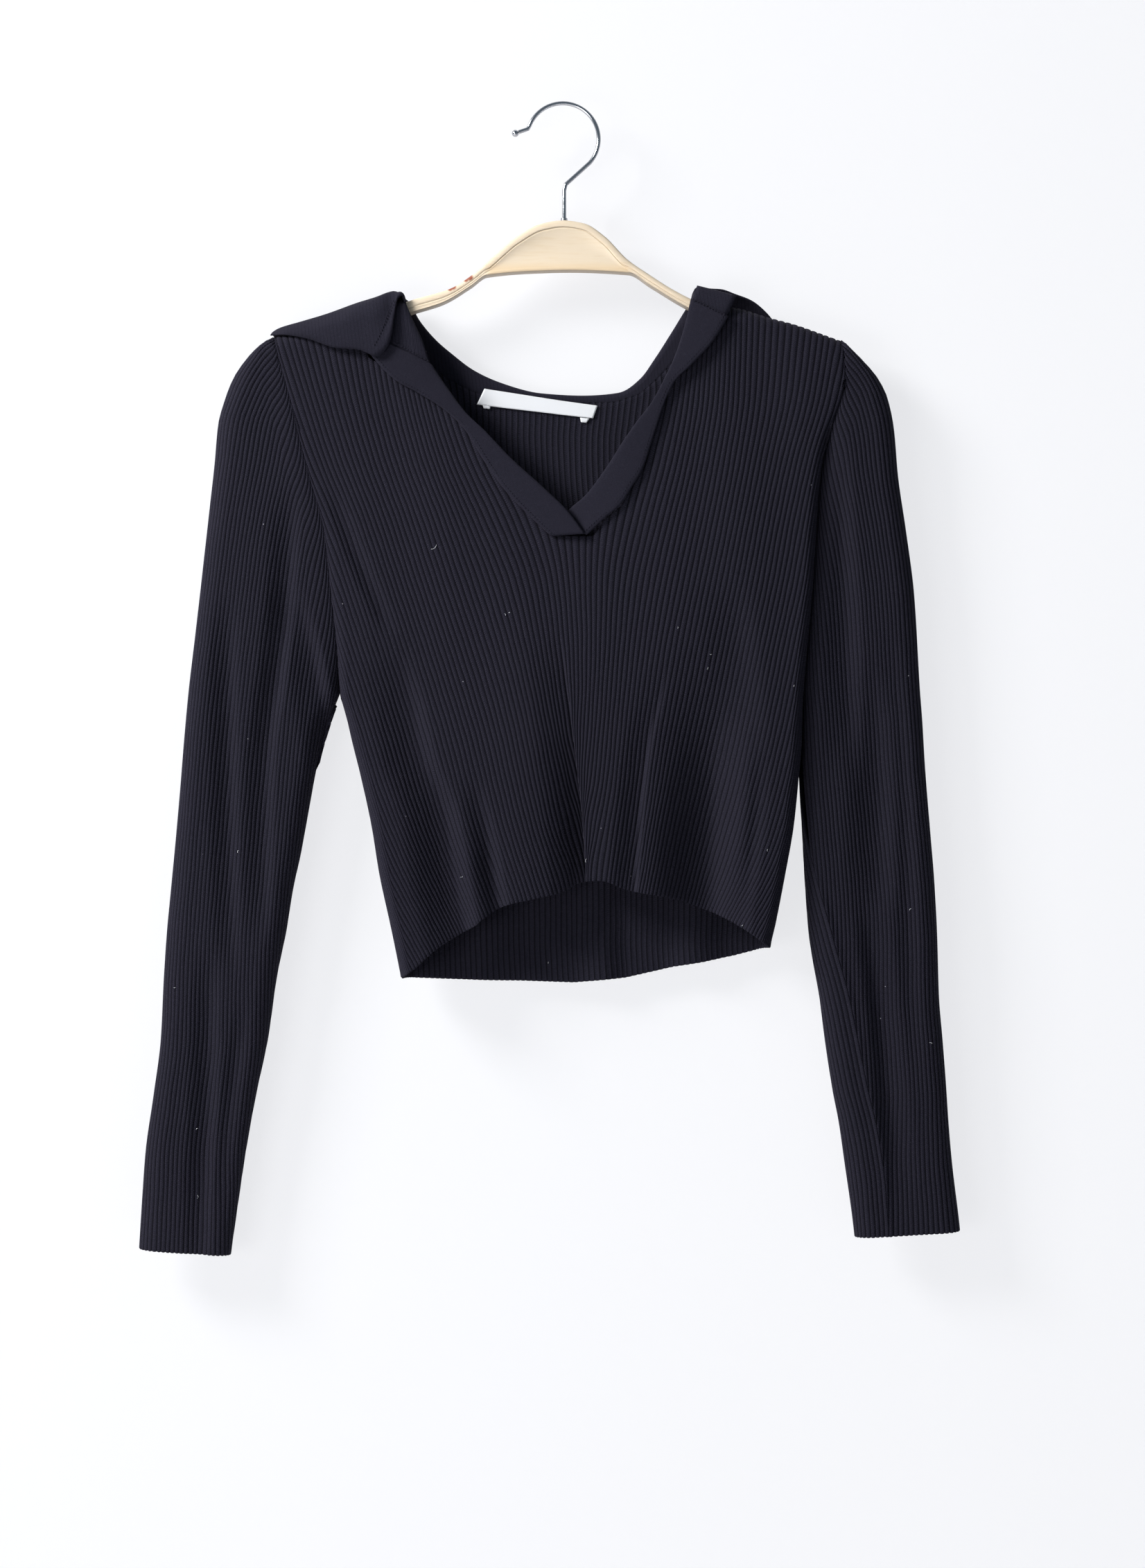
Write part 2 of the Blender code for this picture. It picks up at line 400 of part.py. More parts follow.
def sleeve_point(table, cuff, is_left, a, v):
    """A point of a sleeve: a goes round from the underarm over the front, v from the cuff to the armhole."""
    x, y, z = (np.zeros_like(a) for _ in range(3))
    for is_front in (True, False):
        mine = a <= 0.5 if is_front else a > 0.5
        wale = np.where(is_front, a, 1 - a)
        heights = np.linspace(ARMPIT, table[-1][0], 121)
        ends = np.maximum.accumulate(seam_wale(table, is_left, is_front, heights))
        top = np.interp(wale, ends, heights)
        outer_cuff, inner_cuff, back_drop = cuff
        low = inner_cuff + (outer_cuff - inner_cuff) * wale * 2
        low = low + np.where(is_front, 0.0, back_drop * np.sin(math.pi * wale * 2))
        height = low + (top - low) * v
        outer, inner, inner_y, deep_y, corner = sleeve_section(table, is_left, is_front, height)
        ended = np.where(height > ARMPIT, seam_wale(table, is_left, is_front, height), 0.0)
        share = np.clip((0.5 - wale) / np.maximum(0.5 - ended, 1e-5), 0, 1)
        at_x, at_y, _ = across(share, outer, inner, 0.0, inner_y, deep_y, corner)
        x, y, z = np.where(mine, at_x, x), np.where(mine, at_y, y), np.where(mine, height, z)
    return x, y, z


# ---------- meshes ----------

def material(name):
    colour, roughness, metallic = COLOURS[name]
    made = bpy.data.materials.get(name) or bpy.data.materials.new(name)
    made.use_nodes = True
    shader = made.node_tree.nodes["Principled BSDF"]
    shader.inputs["Base Color"].default_value = (*colour, 1.0)
    shader.inputs["Roughness"].default_value = roughness
    shader.inputs["Metallic"].default_value = metallic
    return made


def finish(name, bm, surface):
    """Turn a bmesh into the named object with its material."""
    bmesh.ops.recalc_face_normals(bm, faces=bm.faces)
    mesh = bpy.data.meshes.new(name)
    bm.to_mesh(mesh)
    bm.free()
    mesh.materials.append(material(surface))
    mesh.shade_smooth()
    mesh.set_sharp_from_angle(angle=math.radians(40))
    made = bpy.data.objects.new(name, mesh)
    bpy.context.scene.collection.objects.link(made)
    return made


def shell(name, surface, points, wall=WALL, closed=False, skip=(), inward=None):
    """Cloth from a grid of points (rows, columns, 3) in millimetres, given its wall by extruding inwards.

    closed joins the last column to the first; skip holds (row, column) squares left out;
    inward holds {(row, column): direction} for edges that share their wall's direction with a neighbour.
    """
    rows, columns = points.shape[:2]
    if closed:
        ringed = np.concatenate([points[:, -1:], points, points[:, :1]], axis=1)
        along = np.gradient(ringed, axis=1)[:, 1:-1]
    else:
        along = np.gradient(points, axis=1)
    up = np.gradient(points, axis=0)
    facing = np.cross(along, up)
    facing /= np.maximum(np.linalg.norm(facing, axis=2, keepdims=True), 1e-9)
    for (row, column), direction in (inward or {}).items():
        facing[row, column] = -np.array(direction) / np.linalg.norm(direction)
    bm = bmesh.new()
    outer = [[bm.verts.new(points[r, c] * MM) for c in range(columns)] for r in range(rows)]
    used = set()
    for r in range(rows - 1):
        for c in range(columns if closed else columns - 1):
            if (r, c) in skip:
                continue
            d = (c + 1) % columns
            corners = (outer[r][c], outer[r][d], outer[r + 1][d], outer[r + 1][c])
            used.update(corners)
            bm.faces.new(corners)
    where = {outer[r][c]: Vector(facing[r, c]) for r in range(rows) for c in range(columns)}
    for vert in [vert for vert in where if vert not in used]:
        bm.verts.remove(vert)
        del where[vert]
    start = {vert.co.copy().freeze(): facing_out for vert, facing_out in where.items()}
    moved = bmesh.ops.extrude_face_region(bm, geom=list(bm.faces), use_keep_orig=True)["geom"]
    for vert in [item for item in moved if isinstance(item, bmesh.types.BMVert)]:
        vert.co = vert.co - start[vert.co.copy().freeze()] * wall * MM
    return finish(name, bm, surface)


def grid(function, us, vs):
    """Evaluate a surface function on a grid: rows over v, columns over u."""
    u, v = np.meshgrid(np.array(us), np.array(vs))
    return np.stack(function(u, v), axis=-1)


# ---------- the sweater ----------

PANEL_COLUMNS = 20
# Places on the tops where a column of the mesh ends, from the left shoulder's end to the right one's.
FRONT_CORNERS = [
    (-133.5, -136.8), (-132.0, -141.2), (-125.7, -164.8), (-62.4, -212.4), (-6.7, -281.0), (18.0, -281.0),
    (44.5, -249.2), (61.4, -204.9), (97.0, -147.4), (101.4, -140.9), (105.4, -135.2), (108.0, -131.2)]
BACK_CORNERS = [
    (-133.5, -136.8), (-130.5, -137.9), (-124.0, -140.5), (98.0, -139.8), (103.5, -135.3), (106.6, -132.5),
    (108.0, -131.2)]
PANEL_ROWS = [step / 20 for step in range(20)] + [0.977, 0.992, 1.0]   # closer together at the shoulder
SLEEVE_ROWS = [step / 14 for step in range(14)] + [0.985, 1.0]


def body_panel(name, is_front):
    """The front or the back, and its points. Its walls match its neighbours' along every seam."""
    hem, neck = (FRONT_HEM, FRONT_TOP) if is_front else (BACK_HEM, BACK_TOP)
    bottom, top = outline(is_front, hem), outline(is_front, neck)
    close = [float(wale_at(is_front, x, z)) for x, z in (FRONT_CORNERS if is_front else BACK_CORNERS)]
    even = [u for u in np.linspace(0, 1, PANEL_COLUMNS + 1) if min(abs(u - c) for c in close) > 0.02]
    us = sorted(even + close)
    ends = (close[0], close[-1])
    points = grid(lambda u, v: panel_point(is_front, bottom, top, ends, u, v), us, PANEL_ROWS)
    last_row, last_column = len(PANEL_ROWS) - 1, len(us) - 1
    directions = {}
    for column, is_left in ((0, True), (last_column, False)):
        for row, share in enumerate(PANEL_ROWS):
            towards_middle = (1.0 if is_left else -1.0, 0.0, 0.0)
            way = armhole_inwards(is_left, is_front, True, points[row, column, 2])
            directions[(row, column)] = way if share > ARMPIT_ROW else towards_middle
    for column in range(1, last_column):
        if not ends[0] < us[column] < ends[1]:
            directions[(last_row, column)] = (-math.copysign(0.25, points[last_row, column, 0]), 0.0, -1.0)
    if is_front:
        return shell(name, "rib_knit", points, inward=directions), points
    turned = {(row, last_column - column): way for (row, column), way in directions.items()}
    return shell(name, "rib_knit", points[:, ::-1], inward=turned), points


def sleeve(name, table, cuff, is_left, front_points, back_points):
    """A sleeve whose columns end on the armhole where the rows of the two panels do."""
    edge = 0 if is_left else -1
    first = PANEL_ROWS.index(ARMPIT_ROW)
    sides = [(True, front_points[first:, edge, 2]), (False, back_points[-2:first:-1, edge, 2])]
    us, ways = [], []
    for is_front, heights in sides:
        for height in heights:
            wale = float(seam_wale(table, is_left, is_front, height))
            us.append(wale if is_front else 1 - wale)
            ways.append(armhole_inwards(is_left, is_front, False, height))
    us[0], us[len(sides[0][1]) - 1] = 0.0, 0.5
    points = grid(lambda a, v: sleeve_point(table, cuff, is_left, a, v), us, SLEEVE_ROWS)
    last = len(SLEEVE_ROWS) - 1
    if is_left:
        points, ways = points[:, ::-1], ways[::-1]
    directions = {(last, column): way for column, way in enumerate(ways)}
    for column, (x, y, z) in enumerate(points[last - 1]):
        if z > VALLEY_TOP and abs(x - curve(EDGES, 1 if is_left else 2, z)) < 11 and abs(y) > 5:
            directions[(last - 1, column)] = armhole_inwards(is_left, y < 0, False, z)
    return shell(name, "rib_knit", points, closed=True, inward=directions)


def band(name, table):
    """A neck band as a strip between its seam and its free edge."""
    rows = np.array(table, float)
    along = np.linspace(0, len(rows) - 1, 2 * len(rows) - 1)
    keyed = [(index, *row) for index, row in enumerate(rows)]
    columns = [np.array([curve(keyed, column, at) for at in along]) for column in range(1, 7)]
    seam = np.stack([columns[0], columns[2], columns[1]], axis=-1)
    free = np.stack([columns[3], columns[5], columns[4]], axis=-1)
    inwards = (free - seam) / np.linalg.norm(free - seam, axis=1, keepdims=True)
    seam = seam - inwards * LAP
    seam[:, 1] = np.minimum(seam[:, 1], curve(DEPTHS, FRONT_Y, seam[:, 2]) - WALL - LAP_GAP)
    middle = (seam + free) / 2 + np.array([0.0, -0.4, 0.0])
    points = np.stack([seam, middle, free], axis=1)
    return shell(name, "plain_knit", points if seam[0, 0] < free[0, 0] else points[:, ::-1])


STAND_STEPS = 2
FALL_SHARES = (0.03, 0.06, 0.1, 0.16, 0.28, 0.42, 0.56, 0.7, 0.85, 1.0)


def thread(points, shares):
    """Points at shares of the length of a smooth curve through some points."""
    points = np.array(points, float)
    lengths = np.concatenate(([0.0], np.cumsum(np.linalg.norm(np.diff(points, axis=0), axis=1))))
    keyed = [(length, *point) for length, point in zip(lengths, points)]
    at = np.array(shares) * lengths[-1]
    return np.stack([curve(keyed, column, at) for column in (1, 2, 3)], axis=-1)


def rolled_station(seam, fold, edge, tangent):
    """The points of a station at the back of the neck, with a round fold across the fold line."""
    tangent = tangent / np.linalg.norm(tangent)
    rise = np.array([0.0, 0.0, 1.0]) - tangent * tangent[2]
    rise /= np.linalg.norm(rise)
    outwards = np.cross(rise, tangent)
    centre = np.array(fold) - rise * FOLD_RADIUS
    side = FOLD_RADIUS * math.sqrt(0.5)
    start, end = centre + outwards * FOLD_RADIUS, np.array(edge)
    return (seam, centre - outwards * FOLD_RADIUS, centre + (rise - outwards) * side, fold,
            centre + (rise + outwards) * side, start, start + (end - start) * 0.5, end)


def collar():
    """One strip: up from the neck seam, over the fold, and down outside."""
    fold_line = np.array([LEAF[-1][2]] + [row[1] for row in COLLAR_BACK] + [RIGHT_LEAF[0][2]])
    tangents = np.gradient(fold_line, axis=0)[1:-1]
    stations = COLLAR_LEFT + LEAF + [rolled_station(*row, tangent) for row, tangent in zip(COLLAR_BACK, tangents)]
    stations = stations + RIGHT_LEAF + COLLAR_RIGHT
    points = np.zeros((len(stations), STAND_STEPS + 1 + len(FALL_SHARES), 3))
    for index, (seam, top, *fall) in enumerate(stations):
        points[index, :STAND_STEPS + 1] = np.linspace(seam, top, STAND_STEPS + 1)
        if fall:
            points[index, STAND_STEPS + 1:] = thread([top, *fall], FALL_SHARES)
    first, last = len(COLLAR_LEFT), len(stations) - len(COLLAR_RIGHT) - 1
    turned = slice(STAND_STEPS + 1, None)
    points[:first, turned] = 2 * points[first, turned] - points[first + 1, turned]
    points[last + 1:, turned] = 2 * points[last, turned] - points[last - 1, turned]
    skip = {(index, column) for index in range(len(stations) - 1) for column in range(len(FALL_SHARES))
            if not first <= index < last}
    return shell("collar", "plain_knit", points[:, ::-1], skip=skip)


def label():
    """The blank label, just inside the back panel."""
    inside = float(curve(DEPTHS, BACK_Y, -190.0)) - WALL - GAP
    (ax, az), (bx, bz), (cx, cz), (dx, dz) = LABEL
    points = np.array([[(dx, inside, dz), (cx, inside, cz)], [(ax, inside, az), (bx, inside, bz)]])
    return shell("label", "satin", points - np.array([0.0, LABEL_WALL, 0.0]), wall=LABEL_WALL)


# ---------- the hanger ----------

def hanger():
    """The wooden body: rounded sections one after another, from the left arm's end to the right one's."""
    bm = bmesh.new()
    loops = []
    for x in np.linspace(HANGER_TOP[0][0], HANGER_TOP[-1][0], 37):
        upper, lower = float(curve(HANGER_TOP, 1, x)), float(curve(HANGER_BOTTOM, 1, x))
        edge = min(HANGER_EDGE, 0.4 * (upper - lower))
        loop = []
        side, top, bottom = HANGER_THICKNESS / 2 - edge, upper - edge, lower + edge
        for quarter, (y, z) in enumerate(((side, top), (-side, top), (-side, bottom), (side, bottom))):
            for step in range(3):
                turn = math.pi / 2 * (quarter + step / 2)
                loop.append(bm.verts.new((x * MM, (y + edge * math.cos(turn)) * MM,
                                          (z + edge * math.sin(turn)) * MM)))
        loops.append(loop)
    for here, there in zip(loops[:-1], loops[1:]):
        for corner in range(len(here)):
            after = (corner + 1) % len(here)
            bm.faces.new((here[corner], here[after], there[after], there[corner]))
    bm.faces.new(loops[0])
    bm.faces.new(loops[-1])
    return finish("hanger_wood", bm, "birch")


def hook():
    """The wire: tip, round part, straight part and stem, swept by a curve's bevel."""
    radius = HOOK_RADIUS + WIRE / 2
    centre = (0.0, -HOOK_RADIUS)
    start = math.acos(HOOK_END_X / radius)
    end = math.radians(HOOK_LEAVES)
    turns = [start + (end - start) * step / 26 for step in range(27)]
    ring = [(centre[0] + radius * math.cos(turn), centre[1] + radius * math.sin(turn)) for turn in turns]
    ball(ring[0])
    stem_x, stem_z = HOOK_STEM_X, float(curve(HANGER_TOP, 1, HOOK_STEM_X)) + GAP
    bend = [(HOOK_STEM_TOP[0] + (stem_x - HOOK_STEM_TOP[0]) * t, HOOK_STEM_TOP[1] - 4.5 * t ** 1.5)
            for t in (0.0, 0.35, 0.7, 1.0)]
    path = [HOOK_TIP] + ring + bend + [(stem_x, stem_z)]
    made = bpy.data.curves.new("hook_wire", "CURVE")
    made.dimensions = "3D"
    made.bevel_depth = WIRE / 2 * MM
    made.bevel_resolution = 2
    made.use_fill_caps = True
    spline = made.splines.new("POLY")
    spline.points.add(len(path) - 1)
    for point, (x, z) in zip(spline.points, path):
        point.co = (x * MM, 0.0, z * MM, 1.0)
    made.materials.append(material("chrome"))
    wire = bpy.data.objects.new("hook_wire", made)
    bpy.context.scene.collection.objects.link(wire)
    return stem_x, stem_z


def ball(bend):
    """The ball on the hook's tip, a gap away from the end of the wire."""
    along = np.array(HOOK_TIP) - np.array(bend)
    along = along / np.linalg.norm(along)
    x, z = np.array(HOOK_TIP) + along * (BALL / 2 + GAP)
    bm = bmesh.new()
    bmesh.ops.create_uvsphere(bm, u_segments=16, v_segments=10, radius=BALL / 2 * MM)
    bmesh.ops.translate(bm, verts=bm.verts, vec=(x * MM, 0.0, z * MM))
    return finish("hook_ball", bm, "chrome")


def ferrule(stem_x, stem_z):
    """The small ring that the wire stands in, on the wood."""
    outer, height = FERRULE
    bm = bmesh.new()
    sides = 16
    profile = [(WIRE / 2 + GAP, 0.0), (outer / 2, 0.0), (outer / 2, height), (WIRE / 2 + GAP, height)]
    rings = []
    for step in range(sides):
        turn = 2 * math.pi * step / sides
        rings.append([bm.verts.new(((stem_x + r * math.cos(turn)) * MM, r * math.sin(turn) * MM,
                                    (stem_z + z) * MM)) for r, z in profile])
    for step in range(sides):
        here, there = rings[step], rings[(step + 1) % sides]
        for corner in range(4):
            after = (corner + 1) % 4
            bm.faces.new((here[corner], there[corner], there[after], here[after]))
    return finish("hook_ferrule", bm, "chrome")


def build():
    for old in list(bpy.context.scene.objects):
        bpy.data.objects.remove(old, do_unlink=True)
    _, front_points = body_panel("front", True)
    _, back_points = body_panel("back", False)
    sleeve("sleeve_left", LEFT_SLEEVE, LEFT_CUFF, True, front_points, back_points)
    sleeve("sleeve_right", RIGHT_SLEEVE, RIGHT_CUFF, False, front_points, back_points)
    band("band_left", LEFT_BAND)
    band("band_right", RIGHT_BAND)
    collar()
    label()
    hanger()
    ferrule(*hook())


build()
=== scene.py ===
# %% [markdown]
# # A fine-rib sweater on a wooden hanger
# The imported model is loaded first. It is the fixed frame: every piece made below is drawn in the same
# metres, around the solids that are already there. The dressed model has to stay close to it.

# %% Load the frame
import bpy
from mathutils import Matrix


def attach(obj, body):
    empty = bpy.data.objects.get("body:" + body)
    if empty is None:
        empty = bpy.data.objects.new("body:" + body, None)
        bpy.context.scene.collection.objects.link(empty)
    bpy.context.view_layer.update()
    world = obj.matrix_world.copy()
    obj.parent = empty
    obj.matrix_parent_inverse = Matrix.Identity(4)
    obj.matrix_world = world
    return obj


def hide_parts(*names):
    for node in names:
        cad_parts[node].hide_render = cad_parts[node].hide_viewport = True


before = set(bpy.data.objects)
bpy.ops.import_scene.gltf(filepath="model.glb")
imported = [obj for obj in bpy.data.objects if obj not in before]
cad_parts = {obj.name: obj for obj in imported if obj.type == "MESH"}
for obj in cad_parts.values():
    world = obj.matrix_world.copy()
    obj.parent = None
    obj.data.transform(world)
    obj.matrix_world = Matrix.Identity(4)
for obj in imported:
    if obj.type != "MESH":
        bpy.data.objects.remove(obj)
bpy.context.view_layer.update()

import math

import bmesh
import bpy
import mathutils
import numpy as np

MM = 0.001
print("solids:", ", ".join(sorted(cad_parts)))

# %% [markdown]
# ## Camera
# The garment is seen square on from about two metres, with the hook near the top of an upright picture. A
# long lens at that distance keeps the sleeves parallel. The lens is worked out from how much height the
# picture takes in, so the distance can change without changing the framing.

# %% Camera
VIEW_CENTRE = (6.3, -441.1)      # x and height at the middle of the picture, mm from the hook's inside top
VIEW_HEIGHT = 1016.0             # height that the picture takes in, mm
VIEW_DISTANCE = 2000.0
SENSOR = 36.0

view = bpy.data.cameras.new("view")
view.sensor_width = SENSOR
view.lens = SENSOR * VIEW_DISTANCE / VIEW_HEIGHT
viewer = bpy.data.objects.new("view", view)
viewer.location = (VIEW_CENTRE[0] * MM, (-VIEW_DISTANCE - 6.0) * MM, VIEW_CENTRE[1] * MM)
viewer.rotation_euler = (math.radians(90), 0, 0)
bpy.context.scene.collection.objects.link(viewer)
bpy.context.scene.camera = viewer
print("lens:", round(view.lens, 1), "mm")

# %% [markdown]
# ## Named sizes
# The sizes are millimetres, in the same tables as the solids: outlines are rows of places from the hem up
# or from left to right, and a smooth curve is read through them. Left and right are the viewer's.

# %% Sizes of the cloth
WALL = 1.5             # thickness of the rib knit
SMOOTH_WALL = 1.3      # thickness of the smooth knit of collar and bands
RIB_DEPTH = 0.74       # how deep the valleys between two ribs are
RIB_PROUD = 0.15       # how far a rib stands above the solid's surface
HALF_GAP = 0.03        # half the gap along a seam
LAP = 1.2              # how far a band lies over the knit beside it
LAP_GAP = 0.5          # how far in front of that knit it stands
CORNER_BODY = 8.0      # how wide the soft corner at the side of a panel is, below the armpit
CORNER_SEAM = 7.0      # the same along the armhole
CORNER_SLEEVE = 13.0   # the same on a sleeve
CORNER_CHANGE = 30.0   # over this height below the armpit the one corner turns into the other
SHOULDER_ROUND = 9.0   # how far below its top a shoulder starts to round off
ARMPIT = -382.0        # height of the armpits

# Body edges, from the hem up: height, left edge x, right edge x.
EDGES = [
    (-572, -103.4, 132.2), (-547, -108.4, 134.3), (-531, -111.8, 137.8), (-500, -118.6, 143.9),
    (-468, -123.9, 149.6), (-437, -130.7, 152.9), (-414, -136.5, 155.0), (-395, -141.0, 155.6),
    (-382, -144.6, 156.2), (-355, -145.9, 158.4), (-315, -150.0, 162.0), (-276, -154.5, 164.5),
    (-247, -162.5, 166.5), (-216, -170.5, 171.5), (-202, -173.8, 176.5), (-180, -179.5, 182.5),
    (-165, -183.7, 181.8), (-151, -187.2, 180.0), (-135, -191.5, 178.0), (-115, -197.0, 176.0)]
# Body depths, from the hem up: height, front y, back y, side seam y.
DEPTHS = [
    (-572, -28.0, 13.0, -7.0), (-500, -25.0, 12.0, -5.0), (-440, -21.0, 11.0, -3.0), (-382, -17.0, 10.0, 0.0),
    (-345, -15.8, 10.0, 0.0), (-315, -15.0, 10.0, 0.0), (-276, -14.0, 10.0, 0.0), (-235, -13.0, 10.0, 0.0),
    (-200, -12.3, 10.0, 0.0), (-178, -12.0, 10.0, 0.0), (-115, -12.0, 10.0, 0.0)]
FRONT_Y, BACK_Y, SIDE_Y = range(1, 4)
# Armhole seams, from the armpit up: height, y on the front left, on the front right, on the back.
ARMHOLES = [
    (-382, 0.0, 0.0, 0.0), (-376, -3.0, -1.0, 3.0), (-364, -7.5, -1.5, 6.0), (-345, -10.5, -2.0, 8.5),
    (-315, -12.0, -2.5, 9.5), (-276, -12.5, -2.5, 9.5), (-235, -12.3, -3.5, 9.5), (-216, -12.0, -6.5, 9.5),
    (-200, -11.8, -9.5, 9.5), (-178, -11.3, -10.8, 9.5), (-115, -11.3, -10.8, 9.5)]
ARMHOLE_LEFT_Y, ARMHOLE_RIGHT_Y, ARMHOLE_BACK_Y = range(1, 4)
# Where ribs of the front run, counted from the one below the V: a row for a height, a column for a rib.
# Past the flat part x goes on along the cloth, round the corner. In the middle, low down, ribs lie in a tuck.
RIBS_AT = (-74, -66, -48, -36, -24, -18, -12, -8, -4, 0, 4, 8, 12, 18, 24, 36, 48, 60, 68)
RIB_PATHS = [
    (-565, -131, -110, -62, -37, -6.5, 9, 16.5, 17, 17.4, 17.7,
     18, 18.6, 23, 34, 44.5, 72, 92, 122, 142),
    (-530, -154, -131, -79.4, -50.7, -17.9, -0.2, 12.5, 15.2, 15.6, 15.9,
     16.2, 17, 26.1, 39.9, 51.7, 82.6, 109.5, 142, 164),
    (-500, -171, -147.6, -94.5, -62.9, -27.7, -9.5, 7.9, 13.3, 13.7, 14,
     14.4, 16.6, 28.6, 44.5, 57.9, 91.6, 125.3, 159, 181),
    (-470, -186, -161.6, -107.6, -74, -37.5, -18.9, -1.9, 9.9, 12, 12.4,
     12.9, 20.5, 32.9, 49.3, 63.5, 99.9, 136.7, 172.7, 197),
    (-440, -200, -175, -119.1, -83.4, -45.1, -26.4, -8.5, 3, 9, 10.2,
     15.8, 26, 37.3, 53.6, 69.5, 107.8, 145.1, 183, 208),
    (-410, -210, -185, -128.7, -92, -52.3, -32.9, -14.3, -3.6, 4.4, 9.6,
     18.4, 29, 40.2, 57.4, 75.6, 114.7, 152.5, 190.5, 216),
    (-380, -221, -196, -138.8, -101.2, -61.2, -40.3, -20.6, -9, 1.2, 10.3,
     20.4, 31.5, 43.4, 62.1, 81.9, 121.2, 159, 197, 222),
    (-350, -231, -206, -149.1, -110.7, -70.8, -49.1, -27.5, -14.2, -1.8, 9.9,
     21.6, 33.8, 46.7, 66.9, 87.7, 127.4, 165.1, 203, 228),
    (-310, -246, -220, -162.4, -124, -84.2, -62.2, -38.4, -22, -6.6, 7.7,
     22, 36.8, 52.1, 74.6, 95.8, 136, 174.1, 213, 239),
    (-270, -260, -234, -176, -137.7, -97.3, -76.2, -54.5, -37, -18, 5,
     25, 44.5, 61, 83, 103.9, 143.4, 181.5, 221.5, 248),
    (-230, -273, -248, -191.9, -153.6, -111.6, -91.2, -71.7, -56, -38, 4.4,
     35, 54.5, 71.1, 91.3, 111.6, 152.1, 190.7, 232.7, 261),
    (-190, -293, -266, -205, -166.5, -122.1, -101.6, -83.6, -69.5, -50, 5.6,
     42, 63.5, 78.4, 97.6, 117.4, 162.8, 204, 246, 274),
    (-150, -306, -279, -218, -178.5, -128.5, -108.3, -91.7, -80, -60, 9.4,
     46, 68, 81.8, 99.5, 119, 169, 214, 257, 286),
    (-112, -317, -290, -229, -189, -133, -112, -95, -84, -64, 10,
     48, 70, 83, 100, 120, 175, 224, 268, 297)]
# How much of the back's width the side seams cut off on each side, from the hem up.
BACK_CUT = [(-572, 0.085), (-500, 0.055), (-440, 0.025), (-382, 0.0), (-115, 0.0)]
# Outlines as x, height.
FRONT_HEM = [
    (-106.0, -567.0), (-95.0, -559.5), (-80.8, -547.0), (-58.8, -533.4), (-36.8, -519.0), (-18.9, -515.0),
    (-0.9, -511.0), (15.0, -503.5), (24.0, -503.0), (41.3, -509.0), (71.4, -515.0), (91.6, -522.0),
    (107.3, -529.0), (117.6, -535.0), (134.5, -547.0)]
BACK_HEM = [
    (-106.0, -567.0), (-68.9, -568.4), (-28.7, -569.3), (7.2, -570.5), (41.3, -567.3), (71.4, -560.4),
    (91.6, -557.0), (111.4, -553.0), (134.5, -547.0)]
FRONT_TOP = [
    (-187.2, -150.9), (-170.0, -146.4), (-150.0, -141.2), (-133.5, -136.8), (-129.0, -150.0),
    (-125.7, -164.8), (-118.1, -169.7), (-106.2, -180.9), (-92.5, -188.6), (-75.4, -199.8),
    (-62.4, -212.4), (-49.8, -232.6), (-36.8, -251.0), (-22.5, -266.3), (-13.0, -275.7), (-6.7, -281.0),
    (18.0, -281.0), (28.7, -268.5), (37.3, -261.8), (44.5, -249.2), (51.2, -236.2), (57.9, -215.5),
    (64.7, -194.9), (74.0, -176.0), (88.0, -158.0), (100.0, -143.0), (108.0, -131.2), (133.4, -137.8),
    (150.4, -142.3), (167.9, -148.4), (180.0, -152.8)]
BACK_TOP = [
    (-187.2, -150.9), (-150.0, -141.2), (-133.5, -136.8), (-124.0, -140.5), (-113.0, -146.0),
    (-104.0, -152.2), (-92.0, -161.4), (-75.4, -176.6), (-57.9, -185.0), (-35.0, -190.1), (0.0, -192.6),
    (34.0, -191.5), (50.0, -186.2), (62.0, -175.8), (77.0, -159.4), (88.0, -147.8), (98.0, -139.8),
    (108.0, -131.2), (133.4, -137.8), (150.4, -142.3), (167.9, -148.4), (180.0, -152.8)]
SHOULDER = [
    (-205.0, -156.0), (-187.2, -150.9), (-150.0, -141.2), (-124.0, -134.4), (-108.0, -128.5), (-60.0, -60.0),
    (60.0, -60.0), (100.0, -128.0), (112.0, -132.2), (133.4, -137.8), (150.4, -142.3), (167.9, -148.4),
    (180.0, -152.8), (200.0, -161.0)]
LEFT_NECK_CORNER, RIGHT_NECK_CORNER = (-133.5, -136.8), (108.0, -131.2)
# Sleeves, from the cuff up: height, outer edge x, inner edge x, front y, back y.
LEFT_SLEEVE = [
    (-750, -275.6, -216.2, -10.0, 10.0), (-706, -272.8, -209.9, -10.0, 10.0),
    (-680, -270.9, -206.0, -10.5, 10.5), (-644, -265.8, -199.5, -11.0, 11.0),
    (-606, -260.9, -191.5, -11.5, 11.5), (-567, -259.0, -185.9, -12.0, 12.0),
    (-535, -256.8, -179.4, -12.5, 12.5), (-511, -254.5, -175.6, -13.0, 13.0),
    (-485, -252.0, -170.0, -13.5, 13.0), (-452, -249.0, -164.0, -14.0, 13.0),
    (-421, -246.5, -158.0, -14.0, 13.0), (-401, -244.8, -152.2, -14.0, 13.0),
    (-382, -243.0, -144.6, -14.0, 13.0), (-337, -237.7, 0.0, -14.0, 13.0), (-268, -229.9, 0.0, -14.0, 12.5),
    (-233, -226.0, 0.0, -13.5, 12.0), (-207, -223.6, 0.0, -13.0, 11.5), (-193, -219.8, 0.0, -12.5, 11.0),
    (-178, -214.0, 0.0, -12.0, 10.5), (-163, -203.5, 0.0, -11.5, 10.0), (-156, -196.0, 0.0, -11.0, 10.0),
    (-150.9, -188.0, 0.0, -11.0, 10.0)]
